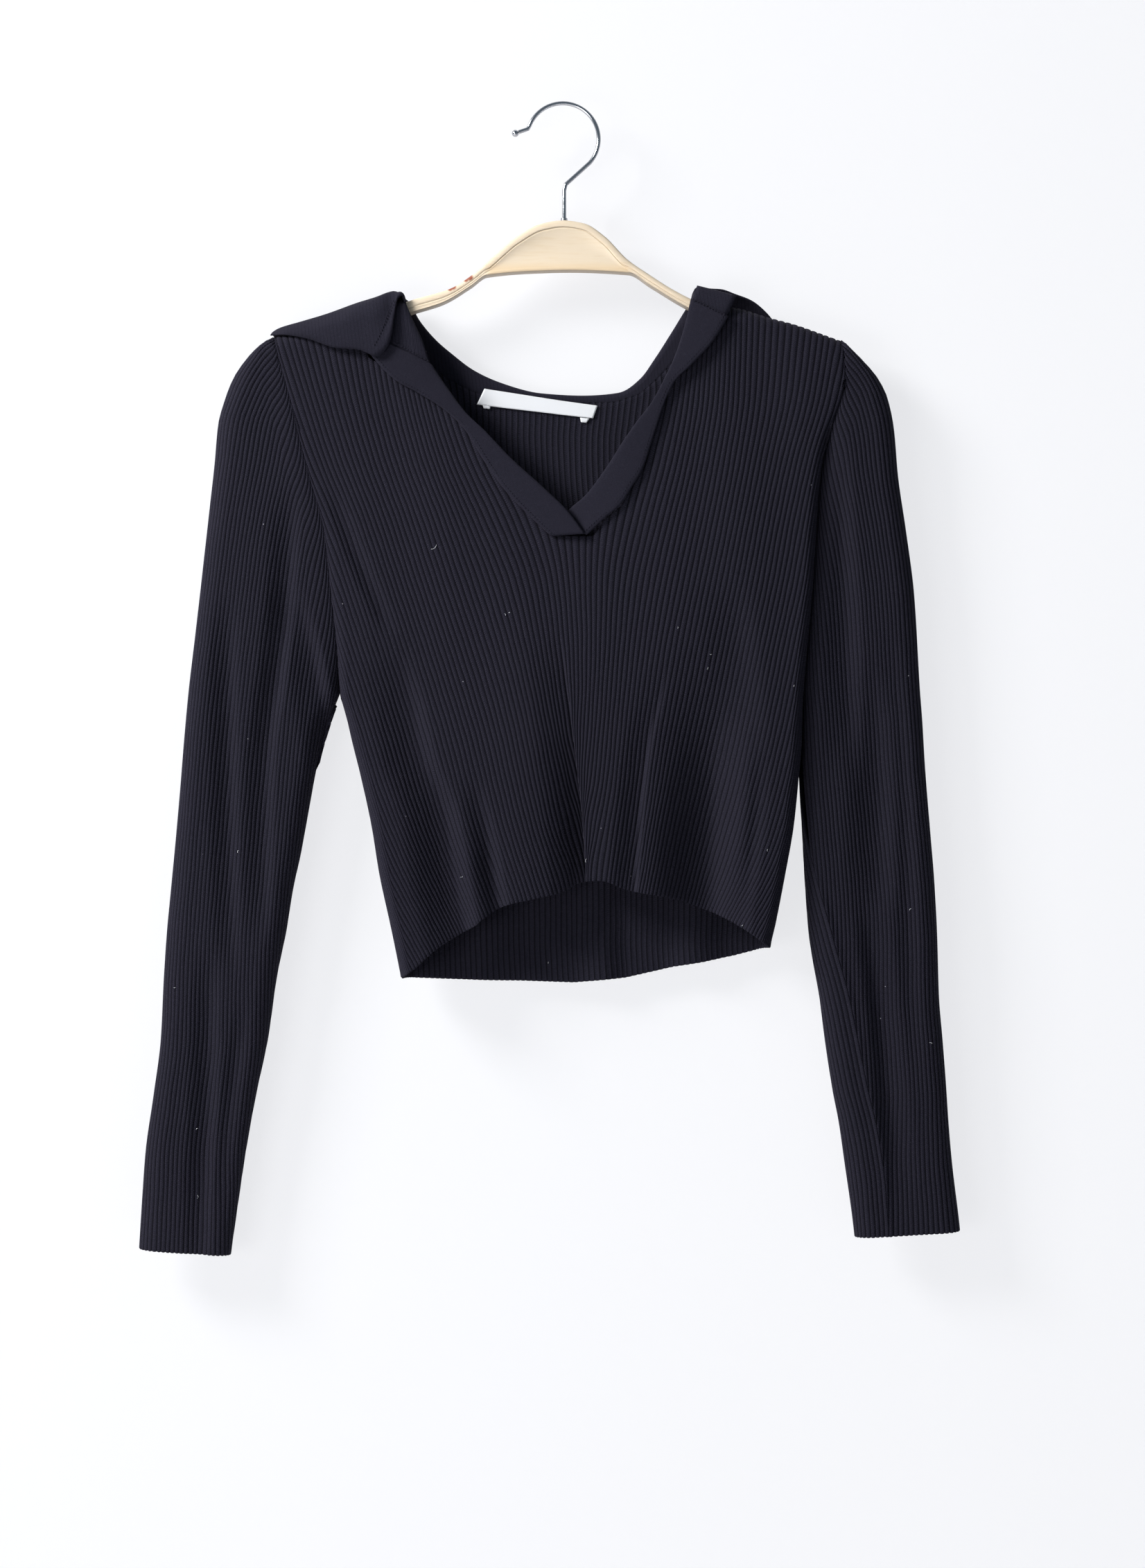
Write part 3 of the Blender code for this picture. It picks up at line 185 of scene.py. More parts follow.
RIGHT_SLEEVE = [
    (-740, 259.0, 190.2, -10.0, 10.0), (-719, 256.6, 187.7, -10.0, 10.0), (-688, 252.8, 183.2, -10.0, 10.5),
    (-661, 250.4, 179.4, -10.5, 11.0), (-638, 248.9, 174.9, -11.0, 11.5), (-608, 246.6, 170.4, -11.0, 12.0),
    (-579, 244.2, 166.6, -11.5, 12.5), (-539, 243.0, 159.9, -12.0, 13.0), (-502, 241.0, 157.1, -11.5, 13.5),
    (-474, 238.7, 155.6, -10.8, 14.0), (-429, 235.1, 153.4, -9.6, 14.5), (-414, 234.2, 154.5, -9.4, 14.8),
    (-400, 233.4, 155.2, -9.2, 15.0), (-382, 232.0, 156.2, -9.0, 15.0), (-318, 228.1, 0.0, -9.4, 15.0),
    (-276, 222.7, 0.0, -10.2, 14.5),
    (-241, 217.6, 0.0, -10.8, 13.5), (-210, 214.9, 0.0, -11.2, 12.5), (-190, 210.6, 0.0, -11.2, 12.0),
    (-178, 204.7, 0.0, -11.0, 11.0), (-168, 196.5, 0.0, -11.0, 10.5), (-159, 187.0, 0.0, -11.0, 10.0),
    (-152.8, 181.0, 0.0, -11.0, 10.0)]
OUTER_X, INNER_X, SLEEVE_FRONT_Y, SLEEVE_BACK_Y = range(1, 5)
# Cuffs: height at the outer edge, at the inner edge, and how much lower the back is.
LEFT_CUFF = (-742.6, -746.7, -2.5)
RIGHT_CUFF = (-731.0, -735.0, -1.5)
print("chest", EDGES[8][2] - EDGES[8][1], "mm wide at the armpits")

# %% [markdown]
# ## Curves through the tables
# A table with few rows has to give a smooth edge. This cubic goes through every row and never overshoots,
# so a straight run stays straight. A panel is flat in the middle and turns a soft corner at both edges,
# because two layers of knit meet there.

# %% Helpers that read the tables
def even_slopes(steps):
    """The slope at each row, from the slopes between rows. It is level where the values turn back."""
    turning = steps[:-1] * steps[1:]
    inner = np.where(turning > 0, 2 * turning / np.where(turning > 0, steps[:-1] + steps[1:], 1.0), 0.0)
    return np.concatenate((steps[:1], inner, steps[-1:]))


def bridge(t, span, start, end, start_slope, end_slope):
    """A cubic from start to end with given slopes at both, at a share t of the span."""
    return (start * (1 + 2 * t) * (1 - t) ** 2 + start_slope * span * t * (1 - t) ** 2
            + end * t * t * (3 - 2 * t) + end_slope * span * t * t * (t - 1))


def curve(table, column, at):
    """The value of a column at any place along a table."""
    rows = np.array([[row[0], row[column]] for row in table], float)
    place, value = rows[:, 0], rows[:, 1]
    slope = even_slopes(np.diff(value) / np.diff(place))
    at = np.clip(at, place[0], place[-1])
    i = np.clip(np.searchsorted(place, at) - 1, 0, len(place) - 2)
    span = place[i + 1] - place[i]
    return bridge((at - place[i]) / span, span, value[i], value[i + 1], slope[i], slope[i + 1])


def ease(t):
    """0 to 1 with a soft start and end."""
    t = np.clip(t, 0.0, 1.0)
    return t * t * (3 - 2 * t)


def across(share, start, end, start_y, end_y, deep_y, corner):
    """A point at a share of the cloth that runs from one edge to the other and turns a corner at each."""
    towards = np.sign(end - start)
    rise_a, rise_b = np.abs(deep_y - start_y), np.abs(deep_y - end_y)
    turn_a = math.pi / 2 * np.sqrt((corner ** 2 + rise_a ** 2) / 2)
    turn_b = math.pi / 2 * np.sqrt((corner ** 2 + rise_b ** 2) / 2)
    flat = np.abs(end - start) - 2 * corner
    length = turn_a + flat + turn_b
    along = share * length
    angle_a = np.clip(along / turn_a, 0, 1) * math.pi / 2
    angle_b = np.clip((length - along) / turn_b, 0, 1) * math.pi / 2
    x = start + towards * (corner * (1 - np.cos(angle_a)) + np.clip(along - turn_a, 0, flat)
                           + corner * np.cos(angle_b))
    y = (start_y + (deep_y - start_y) * np.sin(angle_a)) + (end_y - deep_y) * (1 - np.sin(angle_b))
    return x, y, length


def lengths_along(points):
    """How far along a path of points each of them lies."""
    return np.concatenate(([0.0], np.cumsum(np.linalg.norm(np.diff(points, axis=0), axis=1))))


def thread(points, shares):
    """Points at shares of the length of a smooth curve through some points."""
    points = np.array(points, float)
    lengths = lengths_along(points)
    keyed = [(length, *point) for length, point in zip(lengths, points)]
    at = np.array(shares) * lengths[-1]
    return np.stack([curve(keyed, column, at) for column in (1, 2, 3)], axis=-1)


print("body edge halfway up:", round(float(curve(EDGES, 1, -350)), 1), round(float(curve(EDGES, 2, -350)), 1))
# %% [markdown]
# ## What a rib is
# A 1x1 rib knit is a row of round ridges with a narrow valley between each two, and its other face has the
# same, half a step across. So the sheet is drawn with four columns to each rib, closer together at the
# valleys, and each point is moved along the cloth's own outward direction by the rib's profile. The ridges
# are real relief, because they also show in the outline and in the mesh.

# %% The rib's profile
RIB_PLACES = (0.0, 0.2, 0.5, 0.8)      # where the columns stand within one rib
VALLEY_WIDTH = 0.165
EDGE_ROUND = 0.9       # mm over which a knitted edge rounds off
EDGE_THIN = 0.45       # share of the wall that an edge loses on each face
SEWN = 0.62            # a sewn edge rounds off as if it were this much further in


def rib_profile(phase):
    """0 on a ridge and -1 in the valley, which lies at every whole number."""
    from_valley = np.abs(phase - np.round(phase))
    return -np.exp(-(from_valley / VALLEY_WIDTH) ** 2)


def rib_columns(count):
    """The phases of all the columns of a piece with so many ribs."""
    return np.array([rib + place for rib in range(count) for place in RIB_PLACES] + [float(count)])


def wander(a, b, size, seed):
    """A slow unevenness, the same each time, between about -size and size. No two of its waves keep step."""
    turn = seed * 1.7
    return size * (np.sin(a * 1.0 + b * 0.6 + turn) + np.sin(a * 0.43 - b * 1.13 + 2.3 * turn)
                   + np.sin(a * 1.71 + b * 0.31 + 3.1 * turn)) / 3


def facing_of(points):
    """The outward direction at each point of a grid."""
    along, up = np.gradient(points, axis=1), np.gradient(points, axis=0)
    facing = np.cross(along, up)
    return facing / np.maximum(np.linalg.norm(facing, axis=2, keepdims=True), 1e-9)


print("columns in 10 ribs:", len(rib_columns(10)))

# %% [markdown]
# ## From a flat grid to knitted cloth
# Every piece of cloth starts as Blender's flat grid, which also brings the UV map. Each vertex is then moved
# to its place on the garment. Extruding the whole grid gives the inner face, whose points are moved to their
# own places too, so the cloth has two faces, a real thickness and closed edges. The UV map counts ribs one
# way and millimetres of knitting the other, which the stitches of the material follow.

# %% Make a piece of cloth
SAME_SPOT = 1e-7       # metres within which two vertices are one


def grid_place(vert, rows, columns):
    """The row and the column at which a vertex of Blender's flat grid stands."""
    return round((vert.co.y + 0.5) * (rows - 1)), round((vert.co.x + 0.5) * (columns - 1))


def piece_from(bm, name):
    """A smoothly shaded object in the scene. The bmesh is freed."""
    mesh = bpy.data.meshes.new(name)
    bm.to_mesh(mesh)
    bm.free()
    mesh.shade_smooth()
    piece = bpy.data.objects.new(name, mesh)
    bpy.context.scene.collection.objects.link(piece)
    return piece


def cloth(name, outer, inner, counts, lengths, left_out=None):
    """An object from two grids of points (rows, columns, 3) in millimetres and its UV grids."""
    rows, columns = outer.shape[:2]
    bm = bmesh.new()
    uv = bm.loops.layers.uv.new("UVMap")
    place = bm.verts.layers.int.new("place")
    bmesh.ops.create_grid(bm, x_segments=columns - 1, y_segments=rows - 1, size=0.5)
    for vert in bm.verts:
        row, column = grid_place(vert, rows, columns)
        vert[place] = row * columns + column
    flat_outer, flat_inner = outer.reshape(-1, 3) * MM, inner.reshape(-1, 3) * MM
    flat_counts, flat_lengths = counts.reshape(-1), lengths.reshape(-1)
    for face in bm.faces:
        for loop in face.loops:
            at = loop.vert[place]
            loop[uv].uv = (flat_counts[at], flat_lengths[at])
    for vert in bm.verts:
        vert.co = flat_outer[vert[place]]
    if left_out is not None:
        unused = [face for face in bm.faces if left_out(min(vert[place] for vert in face.verts))]
        bmesh.ops.delete(bm, geom=unused, context="FACES")
    made = bmesh.ops.extrude_face_region(bm, geom=list(bm.faces), use_keep_orig=True)["geom"]
    for vert in [part for part in made if isinstance(part, bmesh.types.BMVert)]:
        vert.co = flat_inner[vert[place]]
    bmesh.ops.remove_doubles(bm, verts=bm.verts, dist=SAME_SPOT)
    bmesh.ops.recalc_face_normals(bm, faces=bm.faces)
    piece = piece_from(bm, name)
    piece.data.calc_loop_triangles()
    print(f"{name}: {len(piece.data.loop_triangles)} triangles")
    return piece


def evenly_worn(x, height, steps, size, seed):
    """The same unevenness over a piece of cloth, with its steps in radians to a millimetre."""
    return wander(x * steps[0], height * steps[1], size, seed)


def flat_area(points):
    """The area of the cloth along a grid of points in millimetres, in square metres."""
    a, b = points[1:, 1:] - points[:-1, :-1], points[1:, :-1] - points[:-1, 1:]
    return float(np.linalg.norm(np.cross(a, b), axis=2).sum() / 2 * MM * MM)


def two_faces(points, phase, rounded):
    """The outer and inner face of rib knit along a smooth sheet. rounded is 1 on an edge and 0 away from it."""
    facing = facing_of(points)
    taper = (1 - np.sqrt(np.clip(1 - rounded ** 2, 0, 1))) * WALL * EDGE_THIN
    outside = RIB_PROUD + RIB_DEPTH * rib_profile(phase) - taper
    inside = -WALL - RIB_PROUD - RIB_DEPTH * rib_profile(phase + 0.5) + taper
    return points + facing * outside[..., None], points + facing * inside[..., None]


# %% [markdown]
# ## The two body panels
# Front and back are cut alike: ribs run from the hem to the shoulder, swing outwards round the V and lean
# with the armholes. The garment hangs without a body in it, so its cloth falls into soft folds. Each fold is
# a short table: how wide it is on its left and on its right, and then height, x and depth from its lower end
# up. A fold with a narrow right side has a crisp edge there.

# %% Folds
TUCK_STEP, TUCK_POWER = 2.0, 1.5       # a fold with a right side narrower than the step falls off like a tuck
FOLD_BELOW = 40.0                      # a fold goes on for this much below its lowest row
FRONT_FOLDS = [
    # The tuck in the middle, which is deepest at the hem.
    (24.0, 1.6, [(-516, 14.4, 9.0), (-490, 13.0, 9.0), (-464, 11.4, 8.5), (-439, 8.8, 7.5), (-407, 5.0, 6.0),
                 (-372, 1.0, 3.0), (-345, -2.0, 0.0)]),
    (46.0, 1.6, [(-516, 14.4, 11.0), (-490, 13.0, 10.0), (-464, 11.4, 7.5), (-439, 8.8, 4.5),
                 (-407, 5.0, 0.0)]),
    # The ridge beside it and the broad fold on the right.
    (18.0, 3.0, [(-520, 45.0, 5.0), (-485, 47.5, 5.5), (-455, 50.0, 5.2), (-431, 52.5, 4.2), (-403, 57.5, 2.6),
                 (-385, 62.5, 1.2), (-365, 67.0, 0.0)]),
    (40.0, 26.0, [(-535, 92.0, 22.0), (-485, 93.0, 21.0), (-450, 95.0, 16.5), (-415, 96.0, 10.0),
                  (-385, 96.0, 4.0), (-350, 94.0, 0.0)]),
    # The two folds on the left of the tuck.
    (30.0, 12.0, [(-555, -60.0, 11.0), (-505, -70.0, 12.0), (-457, -78.0, 10.0), (-424, -92.0, 8.0),
                  (-390, -99.0, 5.5), (-355, -108.0, 0.0)]),
    (13.0, 8.0, [(-535, -38.0, 7.0), (-500, -45.0, 7.0), (-474, -49.0, 4.5), (-435, -58.0, 0.0)]),
    # Shallow ones beside the left armhole and under the right one.
    (9.0, 9.0, [(-345, -111.0, 0.0), (-330, -117.0, 2.0), (-300, -130.0, 2.6), (-270, -142.0, 1.8),
                (-250, -150.0, 0.0)]),
    (12.0, 9.0, [(-540, 112.0, 3.6), (-500, 118.0, 3.4), (-460, 124.0, 2.0), (-420, 127.0, 0.0)]),
    (24.0, 16.0, [(-430, 118.0, 0.0), (-390, 116.0, 3.0), (-350, 112.0, 2.8), (-310, 108.0, 0.0)])]
BACK_FOLDS = [
    (20.0, 26.0, [(-572, -48.0, -4.0), (-480, -52.0, -3.6), (-400, -57.0, -2.4), (-320, -62.0, 0.0)]),
    (22.0, 16.0, [(-572, 26.0, -5.0), (-500, 24.0, -4.2), (-440, 21.0, -2.4), (-390, 19.0, 0.0)]),
    (18.0, 22.0, [(-565, 84.0, -4.0), (-480, 88.0, -3.4), (-420, 91.0, -2.0), (-350, 93.0, 0.0)]),
    (14.0, 12.0, [(-400, 116.0, 0.0), (-340, 124.0, -1.4), (-290, 134.0, -1.2), (-240, 146.0, 0.0)]),
    (13.0, 15.0, [(-390, -104.0, 0.0), (-330, -112.0, -1.3), (-270, -124.0, -1.1), (-225, -136.0, 0.0)])]


def folds(table, x, height):
    """The depth of the folds at a place."""
    depth = 0.0
    for left, right, rows in table:
        middle, most = curve(rows, 1, height), curve(rows, 2, height)
        most = np.where((height < rows[0][0] - FOLD_BELOW) | (height > rows[-1][0]), 0.0, most)
        near = np.clip(1 - np.abs(x - middle) / np.where(x < middle, left, right), 0, 1)
        depth = depth + most * (near ** TUCK_POWER if right < TUCK_STEP else ease(near))
    return depth


print("folds in front:", len(FRONT_FOLDS), " at the back:", len(BACK_FOLDS))

# %% Where the edges of a panel lie
def panel_corner(height):
    """How wide the soft corner at the side of a panel is."""
    return CORNER_SEAM + (CORNER_BODY - CORNER_SEAM) * ease((ARMPIT - height) / CORNER_CHANGE)


def edge_y(is_left, is_front, height):
    """The y of a panel's edge: the side seam below the armpit, the armhole above it."""
    column = ARMHOLE_BACK_Y if not is_front else (ARMHOLE_LEFT_Y if is_left else ARMHOLE_RIGHT_Y)
    side = -HALF_GAP if is_front else HALF_GAP
    return np.where(height > ARMPIT, curve(ARMHOLES, column, height), curve(DEPTHS, SIDE_Y, height)) + side


def panel_section(is_front, height):
    """Left x, right x, left y, right y and middle y of a panel at a height."""
    left = curve(EDGES, 1, height) + HALF_GAP
    right = curve(EDGES, 2, height) - HALF_GAP
    deep_y = curve(DEPTHS, FRONT_Y if is_front else BACK_Y, height)
    return left, right, edge_y(True, is_front, height), edge_y(False, is_front, height), deep_y


def back_share(u, height):
    """The ribs of the back run with its edges above the armpits, and the side seams cut some off below."""
    cut = curve(BACK_CUT, 1, height)
    return (u - cut) / (1 - 2 * cut)


def outline(points, steps=8):
    """An outline of the back as rib against height, with its ribs in rising order."""
    shares, ribs, heights = np.linspace(0, 1, 401), [], []
    for (x0, z0), (x1, z1) in zip(points[:-1], points[1:]):
        for t in np.linspace(0, 1, steps, endpoint=False):
            x, height = x0 + (x1 - x0) * t, z0 + (z1 - z0) * t
            left, right, left_y, right_y, deep_y = panel_section(False, height)
            xs = across(shares, left, right, left_y, right_y, deep_y, panel_corner(height))[0]
            cut = float(curve(BACK_CUT, 1, height))
            ribs.append(cut + np.interp(x, xs, shares) * (1 - 2 * cut))
            heights.append(height)
    ribs, heights = np.array(ribs + [1.0]), np.array(heights + [points[-1][1]])
    ribs[0] = 0.0
    return np.maximum.accumulate(ribs) + np.arange(len(ribs)) * 1e-7, heights


def side_seam(is_left, rows=14):
    """Points up or down a side seam of the back, between the armpit and the hem's corner."""
    heights = np.linspace(ARMPIT, BACK_HEM[0][1] if is_left else BACK_HEM[-1][1], rows, endpoint=False)
    points = [(float(curve(EDGES, 1 if is_left else 2, height)), float(height)) for height in heights]
    return points if is_left else points[::-1]


print("ribs of the front in the table:", RIBS_AT[0], "to", RIBS_AT[-1])

# %% [markdown]
# The ribs of the front fan out from the V's point, more steeply than the side seams and armholes lean, so
# seams, V and shoulders cut them off one by one. Low in the middle a bundle of ribs disappears in a tuck. The
# table gives the run of some ribs. Every other one lies between them, and its two ends are where it meets
# the outline.

# %% The run of the front's ribs
SCAN = np.arange(-572.0, -112.0, 1.0)


def rib_paths(ribs, heights):
    """x along the cloth of ribs at some heights, as a grid with a row for each height."""
    rows = np.array(RIB_PATHS, float)
    keyed = [tuple([rib] + list(column)) for rib, column in zip(RIBS_AT, rows[:, 1:].T)]
    at_rows = np.stack([curve(keyed, 1 + index, ribs) for index in range(len(rows))])
    slots = [tuple([height] + list(row)) for height, row in zip(rows[:, 0], at_rows)]
    return np.stack([curve(slots, 1 + index, heights) for index in range(len(ribs))], axis=1)


def front_share(along, height):
    """The share of the front's section at a distance along the cloth from the middle of the garment."""
    left, right, left_y, right_y, deep_y = panel_section(True, height)
    corner = panel_corner(height)
    length = across(0.0, left, right, left_y, right_y, deep_y, corner)[2]
    turn = math.pi / 2 * np.sqrt((corner ** 2 + (deep_y - left_y) ** 2) / 2)
    start = left + corner - turn
    return (along - start) / length, length


def x_at(share, height):
    """The x of a share of the front's section."""
    left, right, left_y, right_y, deep_y = panel_section(True, height)
    return across(share, left, right, left_y, right_y, deep_y, panel_corner(height))[0]


def rib_spans(ribs):
    """Where each rib of the front starts and ends, and what cuts it off: 0 hem, 1 top, 2 left, 3 right seam."""
    heights = np.repeat(SCAN[:, None], len(ribs), axis=1)
    share, length = front_share(rib_paths(ribs, SCAN), heights)
    x = x_at(np.clip(share, 0, 1), heights)
    margins = np.stack([heights - curve(FRONT_HEM, 1, x), curve(FRONT_TOP, 1, x) - heights,
                        share * length, (1 - share) * length])
    margin = margins.min(axis=0)
    spans = []
    for index in range(len(ribs)):
        inside = np.flatnonzero(margin[:, index] >= 0)
        if not len(inside):
            spans.append((np.nan, np.nan, 0))
            continue
        first = inside[0]
        gaps = np.flatnonzero(margin[first:, index] < 0)
        last = first + gaps[0] - 1 if len(gaps) else len(SCAN) - 1
        low, high = SCAN[first], SCAN[last]
        if first > 0:
            a, b = margin[first - 1, index], margin[first, index]
            low = SCAN[first - 1] + a / (a - b)
        if last < len(SCAN) - 1:
            a, b = margin[last, index], margin[last + 1, index]
            high = SCAN[last] + a / (a - b)
        spans.append((low, high, margins[:, min(last + 1, len(SCAN) - 1), index].argmin()))
    return [np.array(column) for column in zip(*spans)]


whole = [rib for rib in range(RIBS_AT[0], RIBS_AT[-1] + 1) if not np.isnan(rib_spans(np.array([rib]))[0][0])]
print("ribs in front:", len(whole), "from", whole[0], "to", whole[-1])

# %% From the ribs to a sheet
SEAM_CALM, TOP_CALM = 12, 40.0          # near seams (1/12 of the width) and top (mm) the cloth is drawn even
BILLOW_STEPS, BILLOW = (0.075, 0.032), 0.7          # slow waves in depth, mm
SWAY_STEPS, SWAY = (0.6, 0.16), 0.2                 # small sways of the ribs to the side, mm
SCALLOP, SCALLOP_HIGH = 0.4, 4.0                    # how far ribs hang below the valleys, and over what height
PANEL_ROWS = np.array([0, 0.0012, 0.003] + [step / 84 for step in range(1, 82)]
                      + [0.977, 0.985, 0.992, 0.997, 1])      # rows of the grid as shares of a rib's length


def calm(share, to_top):
    """0 at seams and top, where pieces meet, and 1 away from them."""
    return ease(np.minimum(share, 1 - share) * SEAM_CALM) * ease(to_top / TOP_CALM)


def panel_points(is_front, share, height, fade, high, on_shoulder):
    """The smooth sheet of a panel, from a grid of shares across it and one of heights."""
    left, right, left_y, right_y, deep_y = panel_section(is_front, height)
    x, y, length = across(share, left, right, left_y, right_y, deep_y, panel_corner(height))
    y = y + folds(FRONT_FOLDS if is_front else BACK_FOLDS, x, height)
    y = y + evenly_worn(x, height, BILLOW_STEPS, BILLOW, 1 if is_front else 2) * fade
    x = x + evenly_worn(x, height, SWAY_STEPS, SWAY, 3 if is_front else 4) * fade
    to_shoulder = np.where(on_shoulder, high, curve(SHOULDER, 1, x)) - height
    rolled = np.sqrt(1 - (1 - np.clip(to_shoulder / SHOULDER_ROUND, 0, 1)) ** 2)
    side = -HALF_GAP if is_front else HALF_GAP
    return np.stack([x, side + (y - side) * rolled, height], axis=-1), length


def scallop_and_round(points, phase, from_hem, to_top, to_side):
    """Scallops the hem, and says how far each point is on a rounded edge."""
    points[..., 2] -= ease(1 - from_hem / SCALLOP_HIGH) * SCALLOP * (1 + rib_profile(phase))
    return 1 - np.clip(np.minimum(np.minimum(from_hem, to_top), to_side + SEWN) / EDGE_ROUND, 0, 1)


# %% Knit the front
TUCK = 0                                # which of the folds is the tuck
TUCK_REACH, TUCK_WIDTH = 2.6, 3.2       # how far its cloth is drawn under its edge, and over what width
SHORTEST_RIB = 1.5                      # mm, a rib shorter than this is left out


def knit_front():
    fine = np.array([whole[0] - 1 + rib + place for rib in range(len(whole) + 2) for place in RIB_PLACES])
    low, high, cut_by = rib_spans(fine)
    kept = high - low > SHORTEST_RIB
    fine, low, high, cut_by = fine[kept], low[kept], high[kept], cut_by[kept]
    paths = rib_paths(fine, SCAN)
    height = low + (high - low) * PANEL_ROWS[:, None]
    along = np.stack([np.interp(height[:, index], SCAN, paths[:, index]) for index in range(len(fine))], axis=1)
    share, _ = front_share(along, height)
    share = np.clip(share, 0, 1)
    on_shoulder = (cut_by == 1) & ((x_at(share, height)[-1] < LEFT_NECK_CORNER[0])
                                   | (x_at(share, height)[-1] > RIGHT_NECK_CORNER[0]))
    high_grid = np.repeat(high[None], len(PANEL_ROWS), axis=0)
    fade = calm(share, high_grid - height)
    points, length = panel_points(True, share, height, fade, high_grid, on_shoulder[None])
    tuck = FRONT_FOLDS[TUCK][2]
    from_tuck = points[..., 0] - curve(tuck, 1, height)
    strength = ease(curve(tuck, 2, height) / tuck[0][2])
    pulled = TUCK_REACH * np.exp(-(from_tuck / TUCK_WIDTH) ** 2)
    points[..., 0] += pulled * np.where(from_tuck < 1, 1, 0) * strength
    from_hem = height - low
    to_top = (high_grid - height) + np.where(cut_by < 2, 0.0, SEWN)
    phase = np.repeat(fine[None], len(PANEL_ROWS), axis=0)
    rounded = scallop_and_round(points, phase, from_hem, to_top, np.minimum(share, 1 - share) * length)
    outer, inner = two_faces(points, phase, rounded)
    return cloth("knit_front", outer, inner, phase, from_hem), flat_area(points)


front, front_area = knit_front()
print("cloth in front", round(front_area, 4), "m2")

# %% Knit the back
BACK_RIBS = 92


def knit_back():
    bottom, top = outline(side_seam(True) + BACK_HEM + side_seam(False)), outline(BACK_TOP)
    phases = rib_columns(BACK_RIBS)
    u, v = np.meshgrid(phases / BACK_RIBS, PANEL_ROWS)
    low, high = np.interp(u, *bottom), np.interp(u, *top)
    height = low + (high - low) * v
    share = np.clip(back_share(u, height), 0, 1)
    xs = x_at(share, height)
    on_shoulder = (xs[-1] < LEFT_NECK_CORNER[0]) | (xs[-1] > RIGHT_NECK_CORNER[0])
    points, length = panel_points(False, share, height, calm(share, high - height), high, on_shoulder[None])
    from_hem, phase = height - low, u * BACK_RIBS
    rounded = scallop_and_round(points, phase, from_hem, high - height, np.minimum(share, 1 - share) * length)
    points, phase, rounded = points[:, ::-1], phase[:, ::-1], rounded[:, ::-1]
    outer, inner = two_faces(points, phase, rounded)
    return cloth("knit_back", outer, inner, phase, from_hem[:, ::-1]), flat_area(points)


back, back_area = knit_back()
print("cloth at the back", round(back_area, 4), "m2")
# %% [markdown]
# ## The sleeves
# A sleeve is one flat-knitted piece, closed along the underarm. Its ribs run parallel to the outer fold, so
# as the sleeve narrows towards the wrist they end one after another at the underarm seam, and the cap's ribs
# end at the armhole, where they meet the body's at an angle. So each rib is followed from its lower end to
# its upper end. On the right sleeve the seam has twisted round to the front below the elbow.

# %% Sizes that only the sleeves have
# Height, and width of one rib.
LEFT_PITCH = [(-750, 2.95), (-640, 2.7), (-520, 2.6), (-382, 2.65), (-300, 2.7), (-230, 3.0), (-150, 3.6)]
RIGHT_PITCH = [(-740, 3.35), (-690, 2.98), (-640, 2.72), (-520, 2.65), (-382, 2.6), (-300, 2.65), (-230, 2.9),
               (-150, 3.6)]
# Height, and how far the underarm seam lies to the front.
NO_TWIST = [(-750, 0.0), (-382, 0.0)]
RIGHT_TWIST = [(-740, 26.5), (-715, 28.0), (-689, 29.5), (-660, 29.0), (-620, 27.5), (-580, 25.0), (-545, 22.0),
               (-505, 14.0), (-455, 3.0), (-420, 0.0)]
RIGHT_BACK_RIBS = 36
LEFT_SLEEVE_FOLDS = [
    (14.0, 8.0, [(-570, -213.0, 0.0), (-520, -215.0, 3.2), (-440, -216.0, 4.4), (-370, -216.0, 3.6),
                 (-320, -215.0, 0.0)]),
    (15.0, 8.0, [(-545, -194.0, 0.0), (-500, -193.5, 3.8), (-430, -192.0, 5.0), (-350, -182.0, 5.4),
                 (-290, -177.0, 3.6), (-250, -176.0, 0.0)]),
    (20.0, 9.0, [(-430, -150.0, 0.0), (-405, -154.0, 5.0), (-370, -160.0, 5.4), (-335, -169.0, 3.0),
                 (-310, -177.0, 0.0)]),
    (14.0, 9.0, [(-752, -235.0, 2.0), (-700, -233.0, 4.6), (-640, -230.0, 5.2), (-590, -229.0, 4.0),
                 (-545, -228.0, 0.0)]),
    (8.0, 9.0, [(-735, -221.0, 0.0), (-690, -219.0, 2.0), (-630, -213.0, 2.4), (-580, -206.0, 0.0)])]
RIGHT_SLEEVE_FOLDS = [
    (22.0, 12.0, [(-440, 184.0, 0.0), (-400, 184.0, 4.4), (-350, 183.0, 5.6), (-290, 180.0, 5.4),
                  (-240, 177.0, 3.0), (-210, 176.0, 0.0)]),
    (24.0, 14.0, [(-530, 204.0, 0.0), (-500, 204.0, 4.6), (-450, 204.0, 5.8), (-400, 202.0, 4.0),
                  (-360, 198.0, 0.0)]),
    (10.0, 9.0, [(-640, 228.0, 0.0), (-560, 224.0, 1.8), (-480, 222.0, 2.2), (-400, 217.0, 1.6),
                 (-340, 210.0, 0.0)]),
    (11.0, 16.0, [(-736, 218.0, 0.0), (-690, 216.0, 2.2), (-650, 211.0, 4.6), (-600, 206.0, 5.2),
                  (-550, 200.0, 4.0), (-510, 195.0, 0.0)])]
# At the back a fold's middle is counted from the outer edge.
SLEEVE_BACK_FOLDS = [
    (14.0, 12.0, [(-600, 42.0, 0.0), (-520, 40.0, -1.8), (-430, 38.0, -2.2), (-360, 36.0, 0.0)]),
    (12.0, 14.0, [(-700, 30.0, 0.0), (-640, 32.0, -1.6), (-560, 36.0, -1.4), (-500, 38.0, 0.0)])]
print("right seam twists by up to", max(row[1] for row in RIGHT_TWIST), "mm")


